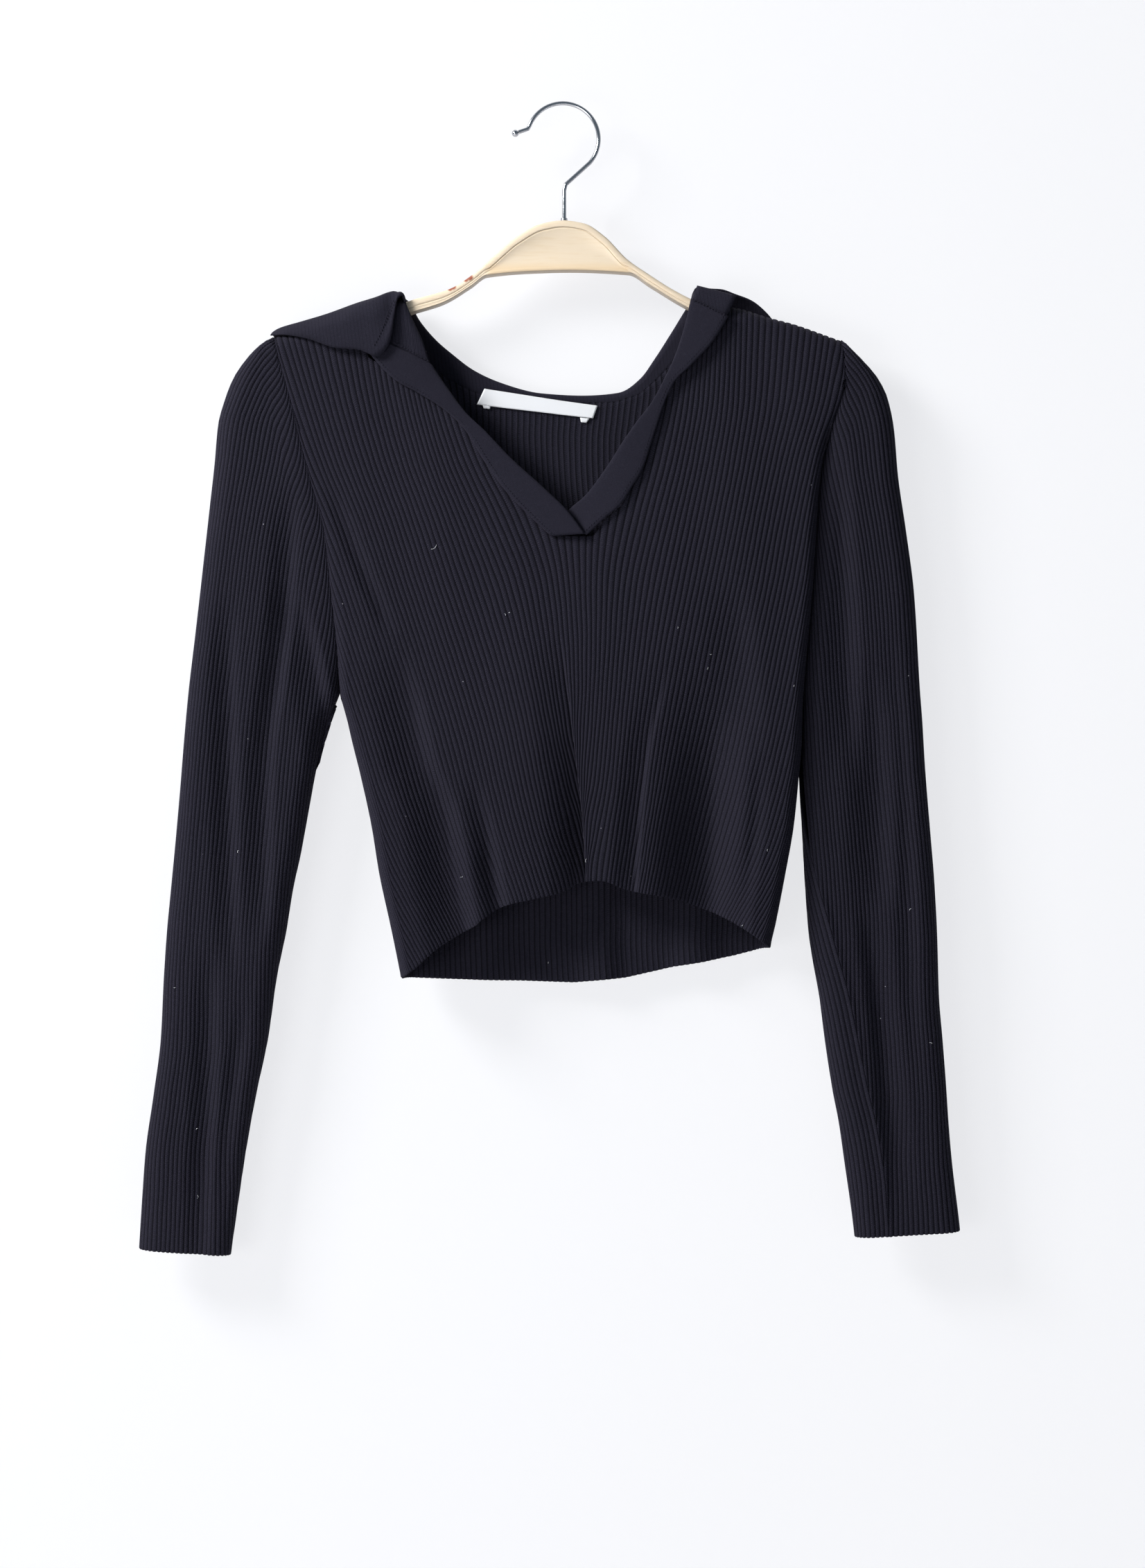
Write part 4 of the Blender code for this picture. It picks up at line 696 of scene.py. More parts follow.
# %% Where a point of a sleeve lies
def sleeve_section(table, is_left, is_front, height):
    """Outer x, inner x, inner y, middle y and corner of one side of a sleeve at a height."""
    outer = curve(table, OUTER_X, height)
    away = HALF_GAP * (-1 if is_left else 1)
    below_armpit = [row for row in table if row[0] <= ARMPIT]
    seam_x = curve(EDGES, 1 if is_left else 2, height)
    inner = np.where(height > ARMPIT, seam_x, curve(below_armpit, INNER_X, height)) + away
    inner_y = np.where(height > ARMPIT, edge_y(is_left, is_front, height), 0.0)
    deep_y = curve(table, SLEEVE_FRONT_Y if is_front else SLEEVE_BACK_Y, height)
    rolled = np.sqrt(1 - (1 - np.clip((table[-1][0] - height) / SHOULDER_ROUND, 0, 1)) ** 2)
    corner = np.minimum(CORNER_SLEEVE, 0.4 * np.abs(inner - outer))
    return outer, inner, inner_y * rolled, deep_y * rolled, corner


def side_width(table, is_left, is_front, height):
    """The cloth between the outer fold and the inner one, or the armhole."""
    outer, inner, inner_y, deep_y, corner = sleeve_section(table, is_left, is_front, height)
    return across(0.0, outer, inner, 0.0, inner_y, deep_y, corner)[2]


def sleeve_place(table, is_left, is_front, along, height):
    """The point at a distance along the cloth from the outer fold, on the other side past the inner one."""
    width = side_width(table, is_left, is_front, height)
    x, y = across(np.clip(along / width, 0, 1), *section_ends(table, is_left, is_front, height))[:2]
    other = side_width(table, is_left, not is_front, height)
    over = np.clip((along - width) / other, 0, 1)
    far_x, far_y = across(1 - over, *section_ends(table, is_left, not is_front, height))[:2]
    return np.where(along > width, far_x, x), np.where(along > width, far_y, y)


def section_ends(table, is_left, is_front, height):
    """What across() needs to draw one side of a sleeve."""
    outer, inner, inner_y, deep_y, corner = sleeve_section(table, is_left, is_front, height)
    return outer, inner, 0.0, inner_y, deep_y, corner


# %% [markdown]
# The sleeve's sheet is laid out as one strip: the front's ribs from the seam to the outer fold, and the
# back's from the fold round to the seam again. Both edges of the strip turn inwards where they meet, as
# linked seams do.

# %% Edges and back of a sleeve
SLEEVE_ROWS = np.array([0, 0.001, 0.0026] + [step / 98 for step in range(1, 97)] + [0.985, 0.991, 0.996, 1])
CUFF_SCALLOP = 0.45
SEAM_RIDGE = 0.9       # how far the twisted seam stands up
SEAM_RIDGE_WIDTH = 2.4
SEAM_SAMPLES = 500     # heights at which the seam is looked up, below the armpit and above it
SLEEVE_BILLOW_STEPS, SLEEVE_SWAY = (0.09, 0.03), 0.22
FAR_AWAY = 99.0        # mm, for a rib that does not reach the cuff


def back_folds(from_outer, height):
    """The depth of the folds at the back of a sleeve."""
    depth = 0.0
    for left, right, rows in SLEEVE_BACK_FOLDS:
        middle, deep = curve(rows, 1, height), curve(rows, 2, height)
        wide = np.where(from_outer < middle, left, right)
        depth = depth + deep * ease(1 - np.abs(from_outer - middle) / wide)
    return depth


def cuff_line(table, cuff, x, y):
    """The height of the cuff's edge under a point. The edge slants, and hangs lower at the back."""
    outer_cuff, inner_cuff, back_drop = cuff
    middle = (outer_cuff + inner_cuff) / 2
    outer_x, inner_x = curve(table, OUTER_X, middle), curve(table, INNER_X, middle)
    share = np.clip((x - outer_x) / (inner_x - outer_x), 0, 1)
    slant = outer_cuff + (inner_cuff - outer_cuff) * share
    return slant + np.where(y > 0, back_drop * np.sin(math.pi * share), 0.0)


print("back folds at", [fold[2][1][0] for fold in SLEEVE_BACK_FOLDS], "mm")


# %% Half a sleeve
def half_sleeve(table, pitch, twist, cuff, is_left, is_front, front_folds, back_ribs):
    """The sheet from the outer fold to the seam, with the number of each rib counted from the fold."""
    cuff_height, tip = (cuff[0] + cuff[1]) / 2, table[-1][0]
    below = np.linspace(cuff_height - 8, ARMPIT, SEAM_SAMPLES)
    above = np.linspace(ARMPIT, tip, SEAM_SAMPLES)

    def cloth_to_seam(height):
        reach = curve(twist, 1, height) * (-1 if is_front else 1)
        return side_width(table, is_left, is_front, height) + np.where(height < ARMPIT, reach, 0.0)

    def rib_width(height):
        if is_front or back_ribs is None:
            return curve(pitch, 1, height)
        return cloth_to_seam(np.minimum(height, ARMPIT)) / back_ribs

    # How many ribs there are at each height. A rib that has ended doesn't come back.
    low_counts = np.maximum.accumulate(cloth_to_seam(below) / rib_width(below))
    high_counts = np.minimum.accumulate(cloth_to_seam(above) / rib_width(above))
    high_counts[-1] = 0.0
    most = float(high_counts[0])
    low_counts = np.minimum(low_counts, most)
    phases = rib_columns(int(most))
    phases = np.append(phases, most - 0.02) if most - phases[-1] > 0.05 else phases
    ribs, v = np.meshgrid(phases, SLEEVE_ROWS)
    # Each rib runs from the cuff or the underarm seam up to the armhole.
    cuffed = ribs <= np.interp(cuff_height, below, low_counts)
    at_cuff = sleeve_place(table, is_left, is_front, ribs * rib_width(cuff_height), cuff_height + 0 * ribs)
    low = np.where(cuffed, cuff_line(table, cuff, *at_cuff), np.interp(ribs, low_counts, below))
    high = np.interp(-ribs, -high_counts, above)
    height = low + (high - low) * v
    x, y = sleeve_place(table, is_left, is_front, ribs * rib_width(height), height)
    limit = np.where(height < ARMPIT, np.interp(height, below, low_counts),
                     np.interp(height, above, high_counts))
    to_seam = (limit - ribs) * rib_width(height)
    # The cloth gets its folds, its raised seam and its unevenness.
    from_outer = np.abs(x - curve(table, OUTER_X, height))
    y = y + np.where(y < 0, folds(front_folds, x, height), back_folds(from_outer, height))
    twisted = ease(curve(twist, 1, height) / 8) * np.where(height < ARMPIT, 1.0, 0.0)
    y = y - SEAM_RIDGE * np.exp(-(to_seam / SEAM_RIDGE_WIDTH) ** 2) * twisted
    away = ease(np.abs(y) / 8) * ease((high - height) / 30) * ease(to_seam / 15)
    y = y + evenly_worn(x, height, SLEEVE_BILLOW_STEPS, BILLOW, 5 if is_left else 7) * away
    x = x + evenly_worn(x, height, SWAY_STEPS, SLEEVE_SWAY, 6 if is_left else 8) * away
    scallop = ease(1 - (height - low) / SCALLOP_HIGH) * CUFF_SCALLOP * (1 + rib_profile(ribs)) * cuffed
    from_edge = np.minimum(np.where(cuffed, height - low, FAR_AWAY), to_seam + SEWN)
    rounded = 1 - np.clip(from_edge / EDGE_ROUND, 0, 1)
    points = np.stack([x, y, height - scallop], axis=-1)
    return points, ribs if is_front else -ribs, rounded, height - cuff_height


print("rows of a sleeve:", len(SLEEVE_ROWS))


# %% Knit both sleeves
def sleeve(name, *sizes, is_left, front_folds, back_ribs=None):
    """A sleeve of two halves that are joined along the outer fold."""
    halves = [half_sleeve(*sizes, is_left, is_front, front_folds, back_ribs) for is_front in (True, False)]
    joined = [np.concatenate([a[:, :0:-1], b], axis=1) for a, b in zip(*halves)]
    if is_left:
        joined = [part[:, ::-1] for part in joined]
    points, phase, rounded, lengths = joined
    outer, inner = two_faces(points, phase, rounded)
    return cloth(name, outer, inner, phase, lengths), flat_area(points)


sleeve_left, left_area = sleeve("knit_sleeve_left", LEFT_SLEEVE, LEFT_PITCH, NO_TWIST, LEFT_CUFF,
                                is_left=True, front_folds=LEFT_SLEEVE_FOLDS)
sleeve_right, right_area = sleeve("knit_sleeve_right", RIGHT_SLEEVE, RIGHT_PITCH, RIGHT_TWIST, RIGHT_CUFF,
                                  is_left=False, front_folds=RIGHT_SLEEVE_FOLDS, back_ribs=RIGHT_BACK_RIBS)
print("cloth in the sleeves", round(left_area, 4), round(right_area, 4), "m2")
# %% [markdown]
# ## Neck bands
# Each side of the V is finished with a strip of smooth, fine knit, about as wide as a thumb, sewn on along
# its outer edge. At the point of the V the left one lies over the right one and is cut off level. Across its
# width a band is slightly crowned, because its edges are turned under.

# %% Sizes of bands and collar
# From the V up: outer (seam) x, height, y, then inner (free) x, height, y.
LEFT_BAND = [
    (-6.7, -281.4, -16.6, 14.4, -280.0, -19.4), (-22.5, -266.3, -16.4, 3.6, -265.4, -18.2),
    (-36.8, -251.0, -16.2, -13.0, -249.2, -17.2), (-49.8, -232.6, -15.8, -33.2, -230.8, -16.4),
    (-62.4, -212.4, -15.4, -49.8, -213.3, -15.8), (-75.4, -199.8, -15.0, -63.0, -200.4, -15.0),
    (-92.5, -188.6, -14.8, -73.0, -187.0, -14.6), (-106.2, -180.9, -14.6, -79.0, -178.5, -14.3),
    (-118.1, -169.9, -14.5, -81.8, -174.2, -14.3), (-125.2, -160.5, -14.5, -83.2, -171.9, -14.3),
    (-128.8, -148.4, -14.5, -84.2, -170.3, -14.3)]
RIGHT_BAND = [
    (14.4, -280.0, -16.6, -4.0, -272.0, -11.0), (26.9, -268.5, -16.5, 5.0, -262.5, -11.8),
    (36.2, -260.6, -16.3, 14.4, -254.6, -13.4), (43.9, -248.6, -16.0, 28.3, -236.2, -14.8),
    (51.2, -236.2, -15.8, 38.0, -221.0, -15.2), (57.9, -215.5, -15.6, 47.0, -208.0, -15.4),
    (64.7, -194.9, -15.8, 57.5, -194.0, -15.6), (71.4, -180.9, -16.4, 65.5, -179.0, -15.8),
    (81.7, -170.6, -17.0, 72.0, -165.0, -15.6), (95.6, -155.4, -17.2, 78.2, -146.0, -15.2),
    (105.8, -139.0, -17.2, 82.5, -127.8, -14.6)]
# The collar's points are on the face towards the neck. Each row goes up from the neck seam: x, y, height.
COLLAR_LEFT = [
    ((-128.4, -12.6, -149.2), (-84.8, -12.5, -171.4)), ((-131.0, -12.4, -145.0), (-90.5, -12.0, -154.6)),
    ((-132.8, -12.0, -141.5), (-97.3, -11.4, -140.0))]
LEAF = [
    ((-132.8, -10.4, -139.0), (-101.0, -10.0, -131.0), (-101.6, -10.8, -127.8), (-103.4, -12.2, -125.6),
     (-105.6, -13.2, -127.2), (-107.0, -14.4, -132.0), (-108.6, -16.4, -142.0), (-110.2, -18.0, -153.0),
     (-114.5, -18.6, -162.0), (-120.5, -18.2, -165.4), (-131.0, -17.8, -161.4), (-146.0, -16.8, -160.0),
     (-165.0, -15.8, -153.4), (-180.0, -11.8, -150.4), (-190.0, -3.4, -149.6)),
    ((-133.4, -7.0, -137.0), (-102.0, -6.6, -128.6), (-102.8, -7.6, -125.2), (-105.6, -9.4, -123.0),
     (-108.8, -11.4, -124.6), (-112.0, -13.8, -129.6), (-116.0, -17.0, -136.0), (-122.0, -18.4, -141.0),
     (-134.0, -18.2, -144.0), (-150.0, -16.0, -146.6), (-165.0, -14.6, -149.2), (-180.0, -10.8, -148.9),
     (-190.0, -2.4, -149.0)),
    ((-134.0, -3.0, -135.9), (-102.4, -2.6, -128.4), (-103.0, -3.4, -125.4), (-105.6, -4.8, -122.6),
     (-109.2, -6.6, -121.8), (-113.5, -9.2, -123.4), (-120.0, -12.0, -127.0), (-134.0, -14.0, -134.0),
     (-152.0, -12.0, -140.6), (-168.0, -11.2, -144.8), (-182.0, -8.0, -147.0), (-190.1, -1.5, -148.7)),
    ((-134.0, 0.0, -135.6), (-102.6, 0.0, -128.2), (-103.2, -0.6, -125.4), (-105.4, -1.2, -122.9),
     (-109.2, -2.2, -121.2), (-113.5, -3.0, -122.2), (-120.0, -3.6, -124.8), (-133.8, -4.6, -129.2),
     (-152.7, -5.0, -136.2), (-170.0, -4.6, -141.2), (-184.0, -3.6, -145.4), (-190.0, -0.5, -148.4)),
    ((-133.6, 6.0, -136.4), (-102.4, 5.6, -128.4), (-102.8, 5.4, -125.4), (-105.2, 5.0, -122.9),
     (-109.0, 4.6, -121.3), (-113.5, 4.4, -122.4), (-120.0, 4.4, -124.8), (-133.8, 4.4, -129.4),
     (-152.7, 4.4, -136.4), (-170.0, 4.2, -141.4), (-184.0, 3.6, -146.0), (-189.4, 2.4, -148.2)),
    ((-126.0, 10.8, -141.0), (-99.4, 10.8, -131.0), (-99.4, 12.2, -127.6), (-100.8, 14.4, -125.4),
     (-104.0, 16.6, -126.0), (-108.0, 17.6, -128.2), (-118.0, 17.4, -132.0), (-134.0, 17.2, -137.0),
     (-152.0, 17.0, -143.0), (-170.0, 16.4, -150.0), (-184.0, 14.6, -156.4))]
# Round the back of the neck: seam, fold, outer edge.
COLLAR_BACK = [
    ((-113.0, 10.4, -147.0), (-94.5, 13.4, -136.5), (-168.0, 16.8, -177.0)),
    ((-92.0, 10.4, -162.6), (-84.0, 13.4, -149.6), (-146.0, 16.8, -201.0)),
    ((-75.4, 10.4, -177.8), (-71.8, 13.4, -160.3), (-112.0, 16.8, -224.0)),
    ((-57.9, 10.4, -186.2), (-57.9, 13.4, -170.6), (-78.0, 16.8, -238.0)),
    ((-35.0, 10.4, -191.3), (-40.0, 13.4, -178.8), (-46.0, 16.8, -246.0)),
    ((-10.0, 10.4, -193.5), (-14.0, 13.4, -185.5), (-14.0, 16.8, -250.0)),
    ((15.0, 10.4, -193.7), (13.0, 13.4, -187.0), (20.0, 16.8, -250.0)),
    ((36.0, 10.4, -192.2), (36.0, 13.4, -185.2), (56.0, 16.8, -246.0)),
    ((50.0, 10.4, -187.4), (50.0, 13.4, -176.5), (86.0, 16.8, -236.0)),
    ((62.0, 10.4, -177.0), (60.0, 13.4, -163.0), (112.0, 16.8, -218.0)),
    ((77.0, 10.4, -160.6), (69.0, 13.4, -149.0), (132.0, 16.8, -196.0)),
    ((88.0, 10.4, -149.0), (77.0, 13.4, -136.0), (146.0, 16.8, -176.0))]
RIGHT_LEAF = [
    ((99.0, 11.8, -140.0), (84.0, 11.0, -129.0), (83.4, 12.8, -125.2), (86.0, 15.4, -123.8),
     (92.0, 17.0, -125.8), (102.0, 17.4, -129.8), (114.0, 17.4, -135.2), (126.0, 17.4, -141.8),
     (138.0, 17.0, -151.0), (149.0, 16.4, -163.0)),
    ((106.8, 7.4, -131.6), (84.6, 5.6, -126.4), (84.2, 6.4, -122.0), (87.4, 8.0, -119.9), (94.0, 9.6, -121.0),
     (102.4, 10.8, -122.6), (113.5, 12.2, -126.4), (124.5, 13.4, -131.0), (135.8, 14.4, -140.4),
     (147.0, 15.2, -156.0)),
    ((109.5, -1.0, -128.8), (85.4, 0.0, -123.4), (85.6, 0.4, -119.4), (89.4, 1.2, -117.8), (96.0, 2.4, -118.6),
     (102.4, 3.6, -118.8), (112.7, 6.0, -121.8), (123.0, 8.4, -125.4), (133.4, 10.8, -133.4),
     (144.0, 13.4, -147.0))]
COLLAR_RIGHT = [
    ((112.0, -11.0, -126.5), (87.0, -7.0, -119.5)), ((105.2, -15.2, -140.8), (82.6, -12.7, -129.8))]
FOLD_RADIUS = 3.0
print("collar stations:", len(COLLAR_LEFT) + len(LEAF) + len(COLLAR_BACK) + len(RIGHT_LEAF) + len(COLLAR_RIGHT))

# %% Knit the bands
BAND_ROWS, BAND_COLUMNS = 110, 22
BAND_CROWN = 0.5
CREASE_WAVE = 0.25
SMOOTH_THIN, SMOOTH_ROUND = 0.46, 0.7       # how much an edge loses on each face, and over what width


def smooth_faces(points, from_edge):
    """The two faces of smooth knit along a sheet, with rounded edges. Both sizes are shares of its wall."""
    facing = facing_of(points)
    from_round = 1 - np.clip(from_edge / (SMOOTH_WALL * SMOOTH_ROUND), 0, 1)
    taper = (1 - np.sqrt(np.clip(1 - from_round ** 2, 0, 1))) * SMOOTH_WALL * SMOOTH_THIN
    return points - facing * taper[..., None], points - facing * (SMOOTH_WALL - taper)[..., None]


def band_edges(table, count, inset):
    """So many points along both edges of a band. The seam edge is moved in, and kept in front of the knit."""
    keyed = [(index, *row) for index, row in enumerate(np.array(table, float))]
    along = np.linspace(0, len(table) - 1, count)
    columns = [curve(keyed, column, along) for column in range(1, 7)]
    seam = np.stack([columns[0], columns[2], columns[1]], axis=-1)
    free = np.stack([columns[3], columns[5], columns[4]], axis=-1)
    seam = seam + (free - seam) / np.linalg.norm(free - seam, axis=1, keepdims=True) * inset
    seam[:, 1] = np.minimum(seam[:, 1], curve(DEPTHS, FRONT_Y, seam[:, 2]) - SMOOTH_WALL - LAP_GAP)
    return seam, free


def band(name, table, seed):
    """A band, row by row from the V up, with its columns from the seam edge to the free one."""
    seam, free = band_edges(table, BAND_ROWS, -LAP)
    shares = np.linspace(0, 1, BAND_COLUMNS)
    points = seam[:, None] + (free - seam)[:, None] * shares[None, :, None]
    points[..., 1] -= BAND_CROWN * (1 - (2 * shares - 1) ** 4)
    width = np.linalg.norm(free - seam, axis=1)[:, None] * np.ones_like(shares)
    length = lengths_along(seam)[:, None] * np.ones_like(shares)
    points[..., 1] += wander(length * 0.11, shares * 2.0, CREASE_WAVE, seed)
    from_edge = np.minimum(np.minimum(shares, 1 - shares) * width, length)
    if seam[0, 0] > free[0, 0]:
        points, from_edge, length = points[:, ::-1], from_edge[:, ::-1], length[:, ::-1]
    outer, inner = smooth_faces(points, from_edge)
    return cloth(name, outer, inner, shares * width, length), flat_area(points)


band_left, band_left_area = band("knit_band_left", LEFT_BAND, 11)
band_right, band_right_area = band("knit_band_right", RIGHT_BAND, 12)
print("bands", round(band_left_area, 4), round(band_right_area, 4), "m2")

# %% [markdown]
# ## The collar
# The collar is one strip that stands up from the neck seam, rolls over its fold and lies on the shoulders.
# On the left its corner is spread out flat over the shoulder, on the right it falls to the back. A few
# stations round the neck say where seam, fold and edge are, and smooth curves fill in between them, first
# down each station and then from one to the next.

# %% Knit the collar
STAND_COLUMNS, FALL_COLUMNS, STATION_STEPS = 8, 62, 8
# The leaf's front end is rolled: how far it stands up, where, over what width, and how far down it goes.
END_ROLL, END_ROLL_AT, END_ROLL_WIDTH, END_ROLL_LENGTH = 1.3, 2.2, 3.2, 46.0
LEAF_STEPS, LEAF_WAVE = (0.11, 0.09), 0.6


def rolled_station(seam, fold, edge, tangent):
    """The points of a station at the back of the neck, with a round fold across the fold line."""
    tangent = tangent / np.linalg.norm(tangent)
    rise = np.array([0.0, 0.0, 1.0]) - tangent * tangent[2]
    rise /= np.linalg.norm(rise)
    outwards = np.cross(rise, tangent)
    centre = np.array(fold) - rise * FOLD_RADIUS
    side = FOLD_RADIUS * math.sqrt(0.5)
    start, end = centre + outwards * FOLD_RADIUS, np.array(edge)
    return (seam, centre - outwards * FOLD_RADIUS, centre + (rise - outwards) * side, fold,
            centre + (rise + outwards) * side, start, start + (end - start) * 0.5, end)


fold_line = np.array([LEAF[-1][2]] + [row[1] for row in COLLAR_BACK] + [RIGHT_LEAF[0][2]])
tangents = np.gradient(fold_line, axis=0)[1:-1]
back_stations = [rolled_station(*row, tangent) for row, tangent in zip(COLLAR_BACK, tangents)]
stations = COLLAR_LEFT + LEAF + back_stations + RIGHT_LEAF + COLLAR_RIGHT
first_turned, last_turned = len(COLLAR_LEFT), len(stations) - len(COLLAR_RIGHT) - 1

down = np.concatenate([np.linspace(0, 0.1, 16)[1:], np.linspace(0.1, 1, FALL_COLUMNS - 14)[1:]])
stand_share = np.linspace(0, 1, STAND_COLUMNS + 1)
coarse = np.zeros((len(stations), len(stand_share) + len(down), 3))
for index, (seam_point, top_point, *fall) in enumerate(stations):
    seam_point, top_point = np.array(seam_point), np.array(top_point)
    coarse[index, :len(stand_share)] = seam_point + (top_point - seam_point) * stand_share[:, None]
    if fall:
        coarse[index, len(stand_share):] = thread([top_point, *fall], down)
turned = slice(len(stand_share), None)
for index in list(range(first_turned)) + list(range(last_turned + 1, len(stations))):
    near, step = (first_turned, 1) if index < first_turned else (last_turned, -1)
    away = abs(near - index)
    coarse[index, turned] = coarse[near, turned] + away * (coarse[near, turned] - coarse[near + step, turned])

at = np.linspace(0, len(stations) - 1, (len(stations) - 1) * STATION_STEPS + 1)
low = np.minimum(at.astype(int), len(stations) - 2)
slopes = even_slopes(np.diff(coarse, axis=0))
fine = bridge((at - low)[:, None, None], 1, coarse[low], coarse[low + 1], slopes[low], slopes[low + 1])
print("collar grid:", fine.shape[:2])

# %% Give the collar its faces
start_row, end_row = first_turned * STATION_STEPS, last_turned * STATION_STEPS
row_numbers = np.arange(len(fine))[:, None]
along_fold = lengths_along(fine[:, len(stand_share)])
down_lengths = np.cumsum(np.linalg.norm(np.diff(fine, axis=1), axis=2), axis=1)
down_lengths = np.concatenate([np.zeros((len(fine), 1)), down_lengths], axis=1)
from_front = np.linalg.norm(fine - fine[start_row][None], axis=2)
from_front = np.where(row_numbers < start_row, 0.0, from_front)
fallen = np.arange(fine.shape[1])[None, :] > len(stand_share)
facing = facing_of(fine[:, ::-1])[:, ::-1]
past_fold = np.maximum(down_lengths - down_lengths[:, len(stand_share)][:, None], 0)
rolled_end = np.exp(-((from_front - END_ROLL_AT) / END_ROLL_WIDTH) ** 2) * ease(past_fold / 8)
rolled_end = rolled_end * ease((END_ROLL_LENGTH - past_fold) / 10) * fallen
fine = fine + facing * (END_ROLL * rolled_end)[..., None]
from_free = down_lengths[:, -1:] - down_lengths
soft = ease(past_fold / 15) * ease(from_free / 6) * fallen
fine[..., 1] += evenly_worn(fine[..., 0], fine[..., 2], LEAF_STEPS, LEAF_WAVE, 13) * soft
from_edge = np.minimum(down_lengths, from_free)
from_end = np.where(row_numbers < start_row + 1, 0.0, from_front)
from_edge = np.where(fallen, np.minimum(from_edge, from_end), from_edge)
outer, inner = smooth_faces(fine[:, ::-1], from_edge[:, ::-1])
columns_of_collar = fine.shape[1]


def not_turned(place):
    """True where the strip has no fall: beside the leaf's front end and at the right end."""
    row, column = divmod(place, columns_of_collar)
    return column < columns_of_collar - 1 - STAND_COLUMNS and not start_row <= row < end_row


collar = cloth("knit_collar", outer, inner, (along_fold[:, None] + 0 * down_lengths)[:, ::-1],
               down_lengths[:, ::-1], left_out=not_turned)

# %% [markdown]
# ## Sewn seams of the bands
# A fine chain of linking stitches runs along the seam edge of each band, and one more down each joint
# between band and collar stand. Every stitch is a small bead lying across the edge.

# %% Stitches
STITCH_STEP, STITCH_LONG, STITCH_THICK = 2.1, 0.75, 0.36      # mm; the last two are from a bead's middle
STITCH_SLANT = 0.45    # radians between a bead and the seam


def stitches(name, path):
    """One object of small beads along a path of points in millimetres, each turned along the path."""
    path = np.array(path, float)
    lengths = lengths_along(path)
    bm = bmesh.new()
    for at in np.arange(STITCH_STEP / 2, lengths[-1], STITCH_STEP):
        place = np.array([np.interp(at, lengths, path[:, axis]) for axis in range(3)])
        ahead = np.array([np.interp(at + 0.3, lengths, path[:, axis]) for axis in range(3)]) - place
        turned = math.atan2(ahead[2], ahead[0]) + STITCH_SLANT
        made = bmesh.ops.create_icosphere(bm, subdivisions=2, radius=1.0)["verts"]
        bmesh.ops.scale(bm, verts=made, vec=(STITCH_LONG * MM, STITCH_THICK * MM, STITCH_THICK * MM))
        bmesh.ops.rotate(bm, verts=made, cent=(0, 0, 0), matrix=mathutils.Matrix.Rotation(-turned, 3, "Y"))
        bmesh.ops.translate(bm, verts=made, vec=place * MM)
    return piece_from(bm, name)


SEAM_POINTS, SEAM_INSET, SEAM_PROUD = 120, 1.6, 0.3


def seam_path(table):
    """The seam edge of a band, a little way in and a little in front of it."""
    return band_edges(table, SEAM_POINTS, SEAM_INSET)[0] - (0, SEAM_PROUD, 0)


LEFT_JOINT = [(-112.0, -15.2, -154.6), (-98.0, -15.2, -162.0), (-85.6, -15.0, -169.0)]
RIGHT_JOINT = [(84.4, -15.4, -129.0), (94.0, -16.5, -133.8), (104.8, -17.7, -139.6)]
linked = [stitches("linking_left", seam_path(LEFT_BAND)), stitches("linking_right", seam_path(RIGHT_BAND)),
          stitches("joint_left", LEFT_JOINT), stitches("joint_right", RIGHT_JOINT)]
print("stitches:", sum(len(piece.data.vertices) for piece in linked) // 42)

# %% [markdown]
# ## The hanger
# The hanger is cut from light plywood. A rim runs along its top edge with a groove below it, and between the
# arms the face is sunk into a shallow panel with a narrow rim at the bottom. It is drawn as sections one
# after another, each a closed line round the board, and the back is the same as the front.

# %% Carve the hanger
HANGER_TOP = [
    (-180.0, -153.4), (-150.0, -145.6), (-124.0, -139.4), (-112.0, -134.0), (-101.5, -128.4), (-73.0, -119.7),
    (-58.0, -110.2), (-47.6, -100.8), (-30.0, -86.0), (-14.0, -77.6), (0.0, -75.4), (14.0, -77.4),
    (27.0, -85.6), (42.0, -100.8), (56.6, -110.9), (70.0, -119.5), (82.6, -126.2), (97.0, -132.8),
    (112.0, -137.4),
    (133.0, -142.4), (150.0, -146.8), (173.0, -154.8)]
HANGER_BOTTOM = [
    (-180.0, -162.0), (-150.0, -153.6), (-124.0, -146.8), (-100.6, -136.6), (-77.5, -129.2), (-59.7, -118.6),
    (-49.2, -111.5), (-18.0, -108.8), (4.5, -108.2), (43.0, -109.9), (56.6, -118.0), (79.0, -131.5),
    (97.0, -140.0), (112.0, -144.8), (133.0, -150.4), (150.0, -155.2), (173.0, -162.6)]
HANGER_HALF = 6.0              # half the board's thickness
HANGER_SECTIONS = 150
RIM, BOTTOM_RIM = 4.5, 2.3     # heights of the two rims
PANEL = (-50.5, 43.5)          # where the sunk panel starts and ends
PANEL_DEPTH, ARM_DEPTH = 0.6, 0.3      # how far the face is sunk
GROOVE = (0.8, 0.25)           # width and depth


